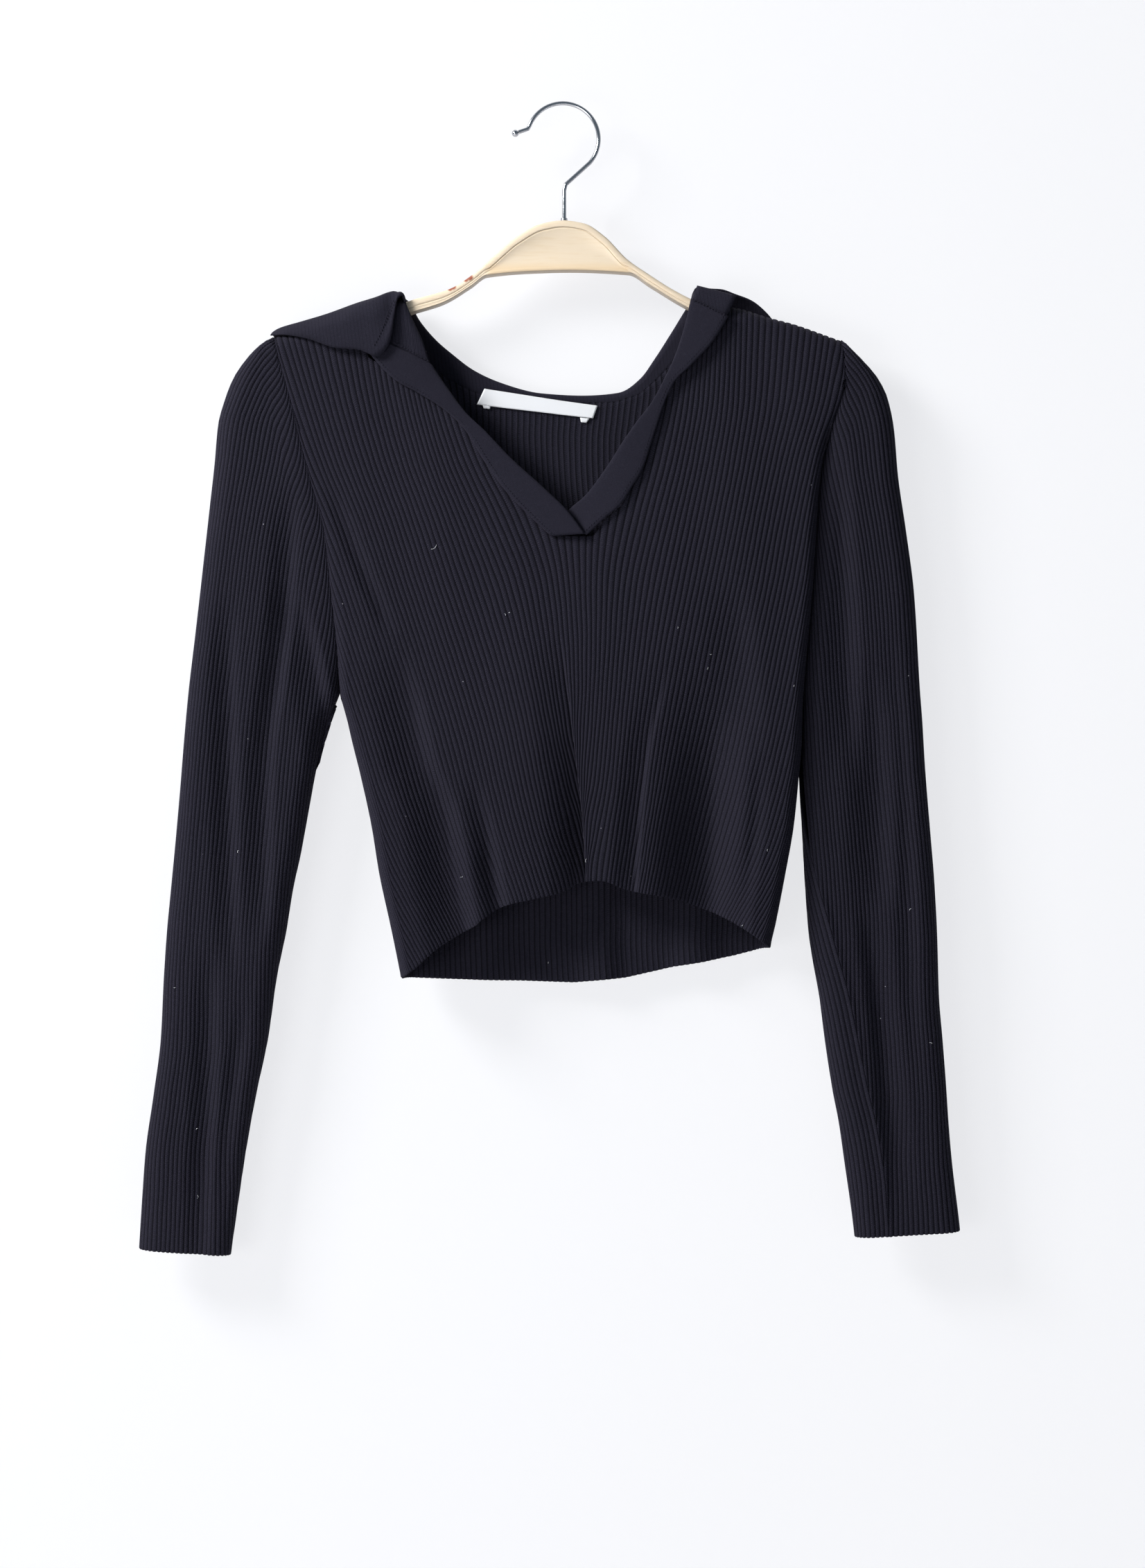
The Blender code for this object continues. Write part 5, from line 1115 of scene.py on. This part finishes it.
def board_side(x, height):
    """One face of the board at x: how far below the top edge, and how far out from the middle."""
    sunk = ease((x - PANEL[0]) / 3.0) * ease((PANEL[1] - x) / 3.0)
    depth = ARM_DEPTH + (PANEL_DEPTH - ARM_DEPTH) * sunk
    rim = min(RIM, height * 0.52)
    slope = math.hypot(1.0, float(curve(HANGER_TOP, 1, x + 1) - curve(HANGER_TOP, 1, x - 1)) / 2)
    rim = min(rim * slope, height * 0.55)
    wide, deep = GROOVE
    face, past = HANGER_HALF - depth, rim + wide
    foot = height - BOTTOM_RIM * (0.35 + 0.65 * sunk)
    rounded_top = [(0.0, 3.4), (0.3, 4.6), (0.9, 5.5), (1.8, HANGER_HALF), (rim - 0.6, HANGER_HALF)]
    groove = [(rim - 0.2, 5.9), (rim, 5.6), (rim + 0.12, face - deep * 0.6), (rim + wide * 0.4, face - deep),
              (rim + wide * 0.8, face - deep * 0.5), (past, face + 0.15), (past + 0.35, face + 0.3),
              (past + 0.8, face + 0.05)]
    flat = [(past + (foot - rim - wide) * 0.55, face), (foot - 0.3, face)]
    bottom = [(foot, HANGER_HALF - depth * 0.5 - 0.1), (foot + 0.25, HANGER_HALF - 0.1), (height - 0.5, 5.7),
              (height - 0.15, 5.2), (height, 4.4)]
    return rounded_top + groove + flat + bottom


def hanger_sections():
    """Closed lines round the board from its left end to its right one, closer together where the panel ends."""
    into_panel = np.linspace(-0.5, 3.5, 9)
    xs = np.unique(np.concatenate([np.linspace(HANGER_TOP[0][0], HANGER_TOP[-1][0], HANGER_SECTIONS),
                                   PANEL[0] + into_panel, PANEL[1] - into_panel]))
    sections = []
    for x in xs:
        upper, lower = float(curve(HANGER_TOP, 1, x)), float(curve(HANGER_BOTTOM, 1, x))
        face = board_side(x, upper - lower)
        end = ease(min(x - xs[0], xs[-1] - x) / 2.0)
        squeeze = 0.55 + 0.45 * float(end)
        face = [(below, out * squeeze) for below, out in face]
        ring = [(x, -out, upper - below) for below, out in face]
        ring += [(x, out, upper - below) for below, out in reversed(face)]
        sections.append(ring + [ring[0]])
    return np.array(sections)


def tube(name, sections):
    """A closed body from rings of points in millimetres, each ring ending where it starts."""
    rows, columns = sections.shape[:2]
    bm = bmesh.new()
    bmesh.ops.create_grid(bm, x_segments=columns - 1, y_segments=rows - 1, size=0.5)
    for vert in bm.verts:
        vert.co = sections[grid_place(vert, rows, columns)] * MM
    bmesh.ops.remove_doubles(bm, verts=bm.verts, dist=SAME_SPOT)
    bmesh.ops.holes_fill(bm, edges=[edge for edge in bm.edges if edge.is_boundary], sides=0)
    bmesh.ops.recalc_face_normals(bm, faces=bm.faces)
    return piece_from(bm, name)


hanger = tube("hanger_board", hanger_sections())
print("hanger faces:", len(hanger.data.polygons))

# %% [markdown]
# ## The hook
# The wire is one curve with a round bevel: tip, round part, straight part and stem. A ball closes the tip,
# and a small turned ring sits on the wood where the wire enters it.

# %% Bend the hook
WIRE, HOOK_RADIUS = 2.6, 22.0                    # thickness of the wire, radius inside the round part
HOOK_END_X, HOOK_LEAVES = -21.6, -42.0           # the round part goes from this x to this angle in degrees
HOOK_TIP, HOOK_KNEE = (-28.7, -17.5), (-22.7, -15.4)
HOOK_STEM_TOP, HOOK_STEM_X, HOOK_BEND = (2.2, -51.2), 0.9, 4.5
BALL, GAP = 4.4, 0.05


def bent_wire(name, radius, resolution, routes):
    """Round wire along routes of points in millimetres, as one object with closed ends."""
    bent = bpy.data.curves.new(name, "CURVE")
    bent.dimensions = "3D"
    bent.bevel_depth = radius * MM
    bent.bevel_resolution = resolution
    bent.use_fill_caps = True
    for route in routes:
        spline = bent.splines.new("POLY")
        spline.points.add(len(route) - 1)
        for point, (x, y, z) in zip(spline.points, route):
            point.co = (x * MM, y * MM, z * MM, 1.0)
        spline.use_smooth = True
    piece = bpy.data.objects.new(name, bent)
    bpy.context.scene.collection.objects.link(piece)
    return piece


hook_radius = HOOK_RADIUS + WIRE / 2
turns = np.linspace(math.acos(HOOK_END_X / hook_radius), math.radians(HOOK_LEAVES), 90)
ring = [(hook_radius * math.cos(turn), -HOOK_RADIUS + hook_radius * math.sin(turn)) for turn in turns]
stem_z = float(curve(HANGER_TOP, 1, HOOK_STEM_X)) + 0.05
bend = [(HOOK_STEM_TOP[0] + (HOOK_STEM_X - HOOK_STEM_TOP[0]) * t, HOOK_STEM_TOP[1] - HOOK_BEND * t ** 1.5)
        for t in np.linspace(0, 1, 8)]
route = [HOOK_TIP, HOOK_KNEE] + ring + bend + [(HOOK_STEM_X, stem_z)]
hook = bent_wire("hook_bent_wire", WIRE / 2, 8, [[(x, 0.0, z) for x, z in route]])

along = np.array(HOOK_TIP) - np.array(HOOK_KNEE)
along = along / np.linalg.norm(along)
ball_x, ball_z = np.array(HOOK_TIP) + along * (BALL / 2 + GAP)
angles = np.linspace(0, math.pi, 25)
around = np.linspace(0, 2 * math.pi, 33)
ball = tube("hook_end_ball", np.array([[(
    ball_x + BALL / 2 * math.sin(a) * math.cos(b), BALL / 2 * math.sin(a) * math.sin(b),
    ball_z + BALL / 2 * math.cos(a)) for b in around] for a in angles]))
# The ring's profile: distance from the wire's middle, and height.
profile = [(WIRE / 2 + GAP, 0.0), (2.0, 0.0), (2.3, 0.25), (2.3, 0.7), (1.9, 1.0), (2.15, 1.3), (2.1, 1.75),
           (1.7, 2.0), (WIRE / 2 + GAP, 2.0), (WIRE / 2 + GAP, 0.0)]
ferrule = tube("hook_base_ring", np.array([[(
    HOOK_STEM_X + r * math.cos(b), r * math.sin(b), stem_z + z) for r, z in profile] for b in around]))
print("hook from", round(ball_x, 1), "mm to the stem at", HOOK_STEM_X, "mm")

# %% [markdown]
# ## The label
# A blank satin label hangs inside the back of the neck, seen through the V. Its ends are turned under, and
# their corners show as two little tabs.

# %% Cut the label
LABEL = [(-51.2, -183.2), (22.7, -194.4), (19.8, -202.5), (-56.1, -193.5)]
LABEL_Y, LABEL_WALL = 7.25, 0.5
LABEL_COLUMNS, LABEL_ROWS = 60, 12


def satin_strip(name, corners, bow, columns, rows):
    """A strip between four corners as x and height, from top left round to bottom left, sagging by a bow."""
    (ax, az), (bx, bz), (cx, cz), (dx, dz) = corners
    s, t = np.meshgrid(np.linspace(0, 1, columns), np.linspace(0, 1, rows))
    x = (dx + (cx - dx) * s) * (1 - t) + (ax + (bx - ax) * s) * t
    z = (dz + (cz - dz) * s) * (1 - t) + (az + (bz - az) * s) * t
    lift = bow * np.sin(math.pi * s) + 0.12 * np.sin(9 * s + 2 * t)
    y = LABEL_Y - lift * 0.4
    z = z - lift * 0.5
    points = np.stack([x, y, z], axis=-1)
    return cloth(name, points, points + np.array([0.0, LABEL_WALL, 0.0]), s * 75, t * 9)


label = satin_strip("label_blank", LABEL, 0.5, LABEL_COLUMNS, LABEL_ROWS)
TABS = [[(-52.6, -192.9), (-47.0, -193.6), (-47.4, -196.4), (-51.6, -196.0)],
        [(11.2, -202.0), (17.4, -202.6), (15.4, -205.4), (11.8, -205.0)]]
tabs = [satin_strip(f"label_tab_{side}", corners, 0.2, 6, 4) for side, corners in zip(("left", "right"), TABS)]
print("label", round(LABEL[1][0] - LABEL[0][0]), "mm wide")

# %% [markdown]
# ## Lint
# Dark knit gathers pale fibres. A few short ones cling to the front and the sleeves, and each is a thin bent
# wire of its own on the crowns of the ribs. The finer dust is left to the yarn's material.

# %% Scatter the fibres
LINT_THICK = 0.085               # radius of a fibre, mm
LINT_BOW = 0.22                  # how far a fibre is bent, as a share of its length
NEAR_X, NEAR_HEIGHT = 2.0, 3.0   # mm round a place in which the knit is searched
# x, height, length and turn in degrees of each fibre.
FIBRES = [
    (-65.0, -500.7, 1.6, 20), (15.0, -490.3, 2.2, 80), (-83.2, -288.1, 4.6, 40), (237.8, -608.6, 1.9, -20),
    (93.4, -366.4, 1.4, 60), (-37.1, -331.9, 1.5, -60), (-34.6, -330.4, 1.1, 20), (-209.5, -484.7, 1.8, 70),
    (-236.6, -708.5, 2.1, 85), (224.6, -522.2, 1.5, 50), (115.2, -531.8, 1.2, 30), (131.6, -483.6, 1.3, 80),
    (74.1, -340.3, 1.3, 75), (-236.8, -664.4, 1.2, 45), (-250.8, -572.6, 1.2, 10),
    (149.1, -377.8, 1.0, 80), (95.4, -357.4, 1.0, 0), (-9.4, -557.9, 1.0, 70), (46.2, -243.6, 1.0, 60)]


def front_of(piece, x, height):
    """The frontmost y in millimetres of a piece near a place."""
    spots = np.empty(len(piece.data.vertices) * 3)
    piece.data.vertices.foreach_get("co", spots)
    spots = spots.reshape(-1, 3) / MM
    near = (np.abs(spots[:, 0] - x) < NEAR_X) & (np.abs(spots[:, 2] - height) < NEAR_HEIGHT)
    return float(spots[near, 1].min()) if near.any() else None


# The rolled edge of the left collar is sewn down a little way in from its rim.
RIM_SEAM = [(-109.0, -128.5), (-111.8, -135.5), (-114.6, -144.0), (-117.8, -152.0), (-121.5, -159.0)]
rim = [(x, front_of(collar, x, height) - 0.2, height) for x, height in RIM_SEAM]
linked.append(stitches("joint_rim", rim))
print("rim stitches from y", round(rim[0][1], 1), "to", round(rim[-1][1], 1))

strands = []
for number, (x, height, length, turn) in enumerate(FIBRES):
    fronts = [front_of(piece, x, height) for piece in (front, back, sleeve_left, sleeve_right)]
    y = min(value for value in fronts if value is not None) - LINT_THICK * 0.6
    cosine, sine = math.cos(math.radians(turn)), math.sin(math.radians(turn))
    strand = []
    for t in np.linspace(-0.5, 0.5, 6):
        bow = LINT_BOW * length * math.cos(math.pi * t) * (1 if number % 2 else -1)
        strand.append((x + t * length * cosine - bow * sine, y, height + t * length * sine + bow * cosine))
    strands.append(strand)
lint = bent_wire("lint_fibres", LINT_THICK, 1, strands)
print("fibres:", len(FIBRES))

# %% [markdown]
# ## Materials
# All the materials are worked out from the pieces' own UV maps and positions, so they stay on the piece
# wherever it is seen from. A few short names for adding nodes keep each recipe readable.

# %% Material helpers
def finish_of(name, colour, roughness, **settings):
    """A named material with its shader's plain values set, and its node tree."""
    made = bpy.data.materials.new(name)
    made.use_nodes = True
    shader = made.node_tree.nodes["Principled BSDF"]
    shader.inputs["Base Color"].default_value = (*colour, 1.0)
    shader.inputs["Roughness"].default_value = roughness
    for socket, value in settings.items():
        shader.inputs[socket.replace("_", " ")].default_value = value
    return made, made.node_tree, shader


class Graph:
    """Short names for adding nodes to a material."""

    def __init__(self, tree):
        self.tree = tree

    def node(self, kind, **values):
        made = self.tree.nodes.new(kind)
        for key, value in values.items():
            setattr(made, key, value)
        return made

    def link(self, source, target):
        self.tree.links.new(source, target)

    def split(self, vector):
        made = self.node("ShaderNodeSeparateXYZ")
        self.link(vector, made.inputs[0])
        return [made.outputs[axis] for axis in "XYZ"]

    def maths(self, operation, *operands):
        made = self.node("ShaderNodeMath", operation=operation)
        for index, operand in enumerate(operands):
            if isinstance(operand, (int, float)):
                made.inputs[index].default_value = operand
            else:
                self.link(operand, made.inputs[index])
        return made.outputs[0]

    def ramp(self, value, low, high, to_low=0.0, to_high=1.0):
        made = self.node("ShaderNodeMapRange", interpolation_type="SMOOTHSTEP")
        self.link(value, made.inputs["Value"])
        for socket, number in zip(("From Min", "From Max", "To Min", "To Max"), (low, high, to_low, to_high)):
            made.inputs[socket].default_value = number
        return made.outputs["Result"]

    def blend(self, share, first, second):
        made = self.node("ShaderNodeMix", data_type="RGBA")
        for socket, value in (("Factor", share), ("A", first), ("B", second)):
            target = [s for s in made.inputs if s.name == socket and s.enabled][0]
            if isinstance(value, tuple):
                target.default_value = (*value, 1.0)
            else:
                self.link(value, target)
        return [s for s in made.outputs if s.enabled][0]

    def noise(self, vector, scale, detail):
        made = self.node("ShaderNodeTexNoise")
        made.inputs["Scale"].default_value = scale
        made.inputs["Detail"].default_value = detail
        self.link(vector, made.inputs["Vector"])
        return made.outputs["Fac"]

    def bump(self, height, distance, strength, under=None):
        made = self.node("ShaderNodeBump")
        made.inputs["Distance"].default_value = distance
        made.inputs["Strength"].default_value = strength
        self.link(height, made.inputs["Height"])
        if under is not None:
            self.link(under, made.inputs["Normal"])
        return made.outputs["Normal"]


print("helpers ready")

# %% [markdown]
# The yarn is nearly black with a breath of violet, matt, and slightly fuzzy. An image of knit could be laid
# on it, but waves and noise have no seams and no size limit. The ribs are real relief, so the material only
# adds the stitches, loose fibres on top, painted shade in the valleys and a little dust.

# %% Materials of the knit
# The second colour on the next line is painted shade for the bottoms of the valleys between ribs and wales.
YARN, YARN_PAINTED_SHADE, YARN_FUZZ = (0.0131, 0.0123, 0.0198), (0.0022, 0.0021, 0.0038), (0.0222, 0.0211, 0.0318)
LINT = (0.34, 0.33, 0.36)
FUZZ_SCALE, LOOSE_SCALE, SPECK_SCALE = 2600.0, 420.0, 46.0      # steps to a metre
SPECK_RADIUS = (0.011, 0.02)           # in steps, where a speck starts and stops to fade
SHADED_VALLEYS = {"rib": (0.29, 0.46), "plain": (0.4, 0.5)}            # painted shade, from none at a valley's edge to all at its bottom, in wales
STITCH_ARCH = 1.6                      # how far a stitch is drawn up at both sides, in courses
UPRIGHT_LEAN = 0.12                    # how far the collar's fine ribs lean, to a height of 1
BUMPS = {"rib": 0.00022, "plain": 0.0001, "loose": 0.0004, "fuzz": 0.0003}      # heights in metres
SPECK_SHARE = 0.8


def knit(name, ribbed, course, wale, shade, upright=False):
    """Knit whose stitches follow the UV map: v in millimetres, u in ribs or millimetres.

    A course is the height of a stitch and a wale its width. The shade sets how much painted shade darkens
    the valleys, and upright knit has them one beside another in x."""
    kind = "rib" if ribbed else "plain"
    made, tree, shader = finish_of(name, YARN, 0.82, Specular_IOR_Level=0.06, Sheen_Weight=0.04,
                                   Sheen_Roughness=0.5, Sheen_Tint=(0.62, 0.56, 0.72, 1.0))
    graph = Graph(tree)
    u, v, _ = graph.split(graph.node("ShaderNodeTexCoord").outputs["UV"])
    place = graph.node("ShaderNodeTexCoord").outputs["Object"]
    if upright:
        x, _, z = graph.split(place)
        u = graph.maths("DIVIDE", graph.maths("ADD", x, graph.maths("MULTIPLY", z, UPRIGHT_LEAN)), MM)
    wale_at = u if ribbed else graph.maths("DIVIDE", u, wale)
    across_wale = graph.maths("ABSOLUTE", graph.maths("SUBTRACT", graph.maths("FRACT", wale_at), 0.5))
    arched = graph.maths("MULTIPLY", across_wale, STITCH_ARCH)
    rows = graph.maths("ADD", graph.maths("DIVIDE", v, course), arched)
    stitch = graph.ramp(graph.maths("SINE", graph.maths("MULTIPLY", rows, 2 * math.pi)), -1.0, 1.0)
    fuzz = graph.noise(place, FUZZ_SCALE, 4.0)
    loose = graph.noise(place, LOOSE_SCALE, 3.0)
    # Painted shade: the deeper into a valley, the more of the dark colour is mixed in.
    valley = graph.ramp(across_wale, *SHADED_VALLEYS[kind])
    colour = graph.blend(graph.ramp(fuzz, 0.4, 0.75), YARN, YARN_FUZZ)
    colour = graph.blend(graph.maths("MULTIPLY", valley, shade), colour, YARN_PAINTED_SHADE)
    speck = graph.node("ShaderNodeTexVoronoi", feature="F1")
    speck.inputs["Scale"].default_value = SPECK_SCALE
    graph.link(place, speck.inputs["Vector"])
    tiny = graph.ramp(speck.outputs["Distance"], *SPECK_RADIUS, 1.0, 0.0)
    colour = graph.blend(graph.maths("MULTIPLY", tiny, SPECK_SHARE), colour, LINT)
    graph.link(colour, shader.inputs["Base Color"])
    yarn = graph.bump(stitch, BUMPS[kind], 0.7)
    yarn = graph.bump(loose, BUMPS["loose"], 0.35, yarn)
    graph.link(graph.bump(fuzz, BUMPS["fuzz"], 0.5, yarn), shader.inputs["Normal"])
    return made


rib_knit = knit("rib_yarn", True, 1.25, 1.0, 0.85)
plain_knit = knit("smooth_yarn", False, 0.8, 1.05, 0.25)
# The collar has no relief ribs. Its fine ribs show only as this painted shade in their valleys.
collar_knit = knit("collar_yarn", False, 0.8, 2.3, 0.55, True)
print("knit materials:", rib_knit.name, plain_knit.name, collar_knit.name)

# %% [markdown]
# The label is white satin, so it gets a faint sheen and the finest weave. The wire is polished chrome, which
# is a metal with little roughness; its edges are toned down, because it should mirror a darker room.

# %% Materials of label and wire
WEAVE_SCALE = 1800.0
satin, satin_tree, satin_shader = finish_of("satin_white", (0.74, 0.745, 0.76), 0.42, Sheen_Weight=0.15)
weave = Graph(satin_tree)
weave_place = weave.node("ShaderNodeTexCoord").outputs["Object"]
weave.link(weave.bump(weave.noise(weave_place, WEAVE_SCALE, 2.0), 0.0001, 0.3), satin_shader.inputs["Normal"])

chrome, _, chrome_shader = finish_of("chrome_wire", (0.56, 0.57, 0.60), 0.14, Metallic=1.0)
chrome_shader.inputs["Specular Tint"].default_value = (0.12, 0.12, 0.13, 1.0)
print("materials:", satin.name, chrome.name)

# %% [markdown]
# The board is pale birch with a long grain, so the noise is stretched along x. The wood turns warmer at the
# foot of the panel, and painted shade darkens the faces that look down. Four small marks of rust lie on the
# left arm, on its face only.

# %% Material of the board
WOOD, WOOD_LINE, WOOD_WARM = (0.73, 0.605, 0.45), (0.70, 0.56, 0.39), (0.70, 0.50, 0.28)
# On the next line: painted shade for the faces that look down, and the colour of the rust.
WOOD_PAINTED_SHADE, WOOD_STAIN = (0.34, 0.28, 0.22), (0.26, 0.06, 0.025)
GRAIN_STRETCH, GRAIN_SCALE = (14.0, 260.0, 200.0), 4.0
# Where one look turns into the other, in metres or as the facing: from none of it to all of it.
WARM_BELOW, FACING_DOWN_SHADED, ON_THE_FACE = (-0.1015, -0.1075), (-0.5, -0.85), (-0.0032, -0.0048)
PANEL_FROM, PANEL_TO = (-0.052, -0.046), (0.046, 0.040)
WARM_SHARE, PAINTED_SHADE_SHARE = 0.5, 0.75
# x, height and radius of each stain, in metres
STAINS = [((-0.0602, -0.1128), 0.0029), ((-0.0628, -0.1141), 0.0024), ((-0.0710, -0.1189), 0.0027),
          ((-0.0730, -0.1200), 0.0023)]
birch, birch_tree, birch_shader = finish_of("birch_ply", WOOD, 0.5)
wood = Graph(birch_tree)
wood_place = wood.node("ShaderNodeTexCoord").outputs["Object"]
stretched = wood.node("ShaderNodeMapping")
stretched.inputs["Scale"].default_value = GRAIN_STRETCH
wood.link(wood_place, stretched.inputs["Vector"])
grain = wood.noise(stretched.outputs["Vector"], GRAIN_SCALE, 6.0)
colour = wood.blend(wood.ramp(grain, 0.46, 0.78), WOOD, WOOD_LINE)
wood_x, wood_y, wood_z = wood.split(wood_place)
in_panel = wood.maths("MULTIPLY", wood.ramp(wood_x, *PANEL_FROM), wood.ramp(wood_x, *PANEL_TO))
warm = wood.maths("MULTIPLY", wood.ramp(wood_z, *WARM_BELOW), in_panel)
colour = wood.blend(wood.maths("MULTIPLY", warm, WARM_SHARE), colour, WOOD_WARM)
# Painted shade: faces that look down are darkened, as if they lay in shadow.
under = wood.ramp(wood.split(wood.node("ShaderNodeNewGeometry").outputs["Normal"])[2], *FACING_DOWN_SHADED)
colour = wood.blend(wood.maths("MULTIPLY", under, PAINTED_SHADE_SHARE), colour, WOOD_PAINTED_SHADE)
in_front = wood.ramp(wood_y, *ON_THE_FACE)
for (stain_x, stain_z), radius in STAINS:
    off_x, off_z = wood.maths("SUBTRACT", wood_x, stain_x), wood.maths("SUBTRACT", wood_z, stain_z)
    squares = [wood.maths("MULTIPLY", off, off) for off in (off_x, off_z)]
    away = wood.maths("SQRT", wood.maths("ADD", *squares))
    spot = wood.maths("MULTIPLY", wood.ramp(away, radius, radius * 0.4), in_front)
    colour = wood.blend(spot, colour, WOOD_STAIN)
wood.link(colour, birch_shader.inputs["Base Color"])
wood.link(wood.bump(grain, 0.0003, 0.15), birch_shader.inputs["Normal"])
print("materials:", len(bpy.data.materials))

# %% [markdown]
# ## Every piece in its place
# Each drawn piece rides on the one body and stands for the solid that it dresses.

# %% Dress the frame
PIECES = [
    (front, "front", rib_knit, "rib_knit"), (back, "back", rib_knit, "rib_knit"),
    (sleeve_left, "sleeve_left", rib_knit, "rib_knit"), (sleeve_right, "sleeve_right", rib_knit, "rib_knit"),
    (band_left, "band_left", plain_knit, "plain_knit"), (band_right, "band_right", plain_knit, "plain_knit"),
    (collar, "collar", collar_knit, "plain_knit"), (label, "label", satin, "satin"),
    (hanger, "hanger_wood", birch, "birch"), (hook, "hook_wire", chrome, "chrome"),
    (ball, "hook_ball", chrome, "chrome"), (ferrule, "hook_ferrule", chrome, "chrome")]
for piece, node, finish, slot in PIECES:
    piece.data.materials.append(finish)
    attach(piece, "root")
    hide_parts(node)
for piece, finish, slot in [(piece, plain_knit, "plain_knit") for piece in linked] + [
        (piece, satin, "satin") for piece in tabs + [lint]]:
    piece.data.materials.append(finish)
    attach(piece, "root")
print("pieces:", len(PIECES) + len(linked) + len(tabs) + 1)

# %% [markdown]
# ## Room and light
# A pale wall stands close behind the hanger and a pale floor lies well below the sleeves. The wall glows a
# little, so that it stays bright, and it is only there from the front, so that the back can be looked at.
# One large soft lamp stands up on the left in front, a weaker one low down fills in, one more lights the
# back, and the sky fills in evenly.

# %% Wall, floor and lamps
WALL_BEHIND, FLOOR_BELOW = 0.026, -0.99
WALL_GLOW, SKY = 0.77, 0.19


def plane(name, size, place, turn, colour):
    """A plain surface of the room. It is no piece of the object."""
    bm = bmesh.new()
    bmesh.ops.create_grid(bm, x_segments=1, y_segments=1, size=size / 2)
    bmesh.ops.rotate(bm, verts=bm.verts, cent=(0, 0, 0), matrix=mathutils.Matrix.Rotation(turn, 3, "X"))
    bmesh.ops.translate(bm, verts=bm.verts, vec=place)
    made = piece_from(bm, name)
    paint, tree, shader = finish_of(name, colour, 0.9, Specular_IOR_Level=0.1)
    made.data.materials.append(paint)
    return tree, shader


wall_tree, wall_shader = plane("stage_wall", 5.0, (0, WALL_BEHIND, -0.2), math.radians(90), (0.19, 0.19, 0.195))
plane("stage_floor", 6.0, (0, 0, FLOOR_BELOW), 0.0, (0.6, 0.6, 0.62))
wall_shader.inputs["Emission Color"].default_value = (0.97, 0.975, 1.0, 1.0)
wall_shader.inputs["Emission Strength"].default_value = WALL_GLOW
see_through = Graph(wall_tree)
one_way = see_through.node("ShaderNodeMixShader")
see_through.link(see_through.node("ShaderNodeNewGeometry").outputs["Backfacing"], one_way.inputs[0])
see_through.link(wall_shader.outputs[0], one_way.inputs[1])
see_through.link(see_through.node("ShaderNodeBsdfTransparent").outputs[0], one_way.inputs[2])
see_through.link(one_way.outputs[0], wall_tree.nodes["Material Output"].inputs["Surface"])

world = bpy.data.worlds.new("sky")
world.use_nodes = True
world.node_tree.nodes["Background"].inputs["Color"].default_value = (0.68, 0.85, 1.0, 1.0)
world.node_tree.nodes["Background"].inputs["Strength"].default_value = SKY
bpy.context.scene.world = world


def lamp(name, place, target, size, power):
    """A square soft lamp at a place, aimed at a target."""
    light = bpy.data.lights.new(name, "AREA")
    light.shape = "SQUARE"
    light.size = size
    light.energy = power
    made = bpy.data.objects.new(name, light)
    made.location = place
    aim = mathutils.Vector(target) - mathutils.Vector(place)
    made.rotation_euler = aim.to_track_quat("-Z", "Y").to_euler()
    bpy.context.scene.collection.objects.link(made)


lamp("key", (-1.55, -1.0, 0.78), (0.05, 0.0, -0.45), 0.7, 66)
lamp("fill_low", (-0.9, -1.6, -0.85), (0.0, 0.0, -0.5), 0.8, 14)
lamp("fill_behind", (1.6, 1.9, 1.0), (0.0, 0.0, -0.4), 0.9, 90)
bpy.context.scene.view_settings.view_transform = "Standard"
print("lamps:", len(bpy.data.lights))
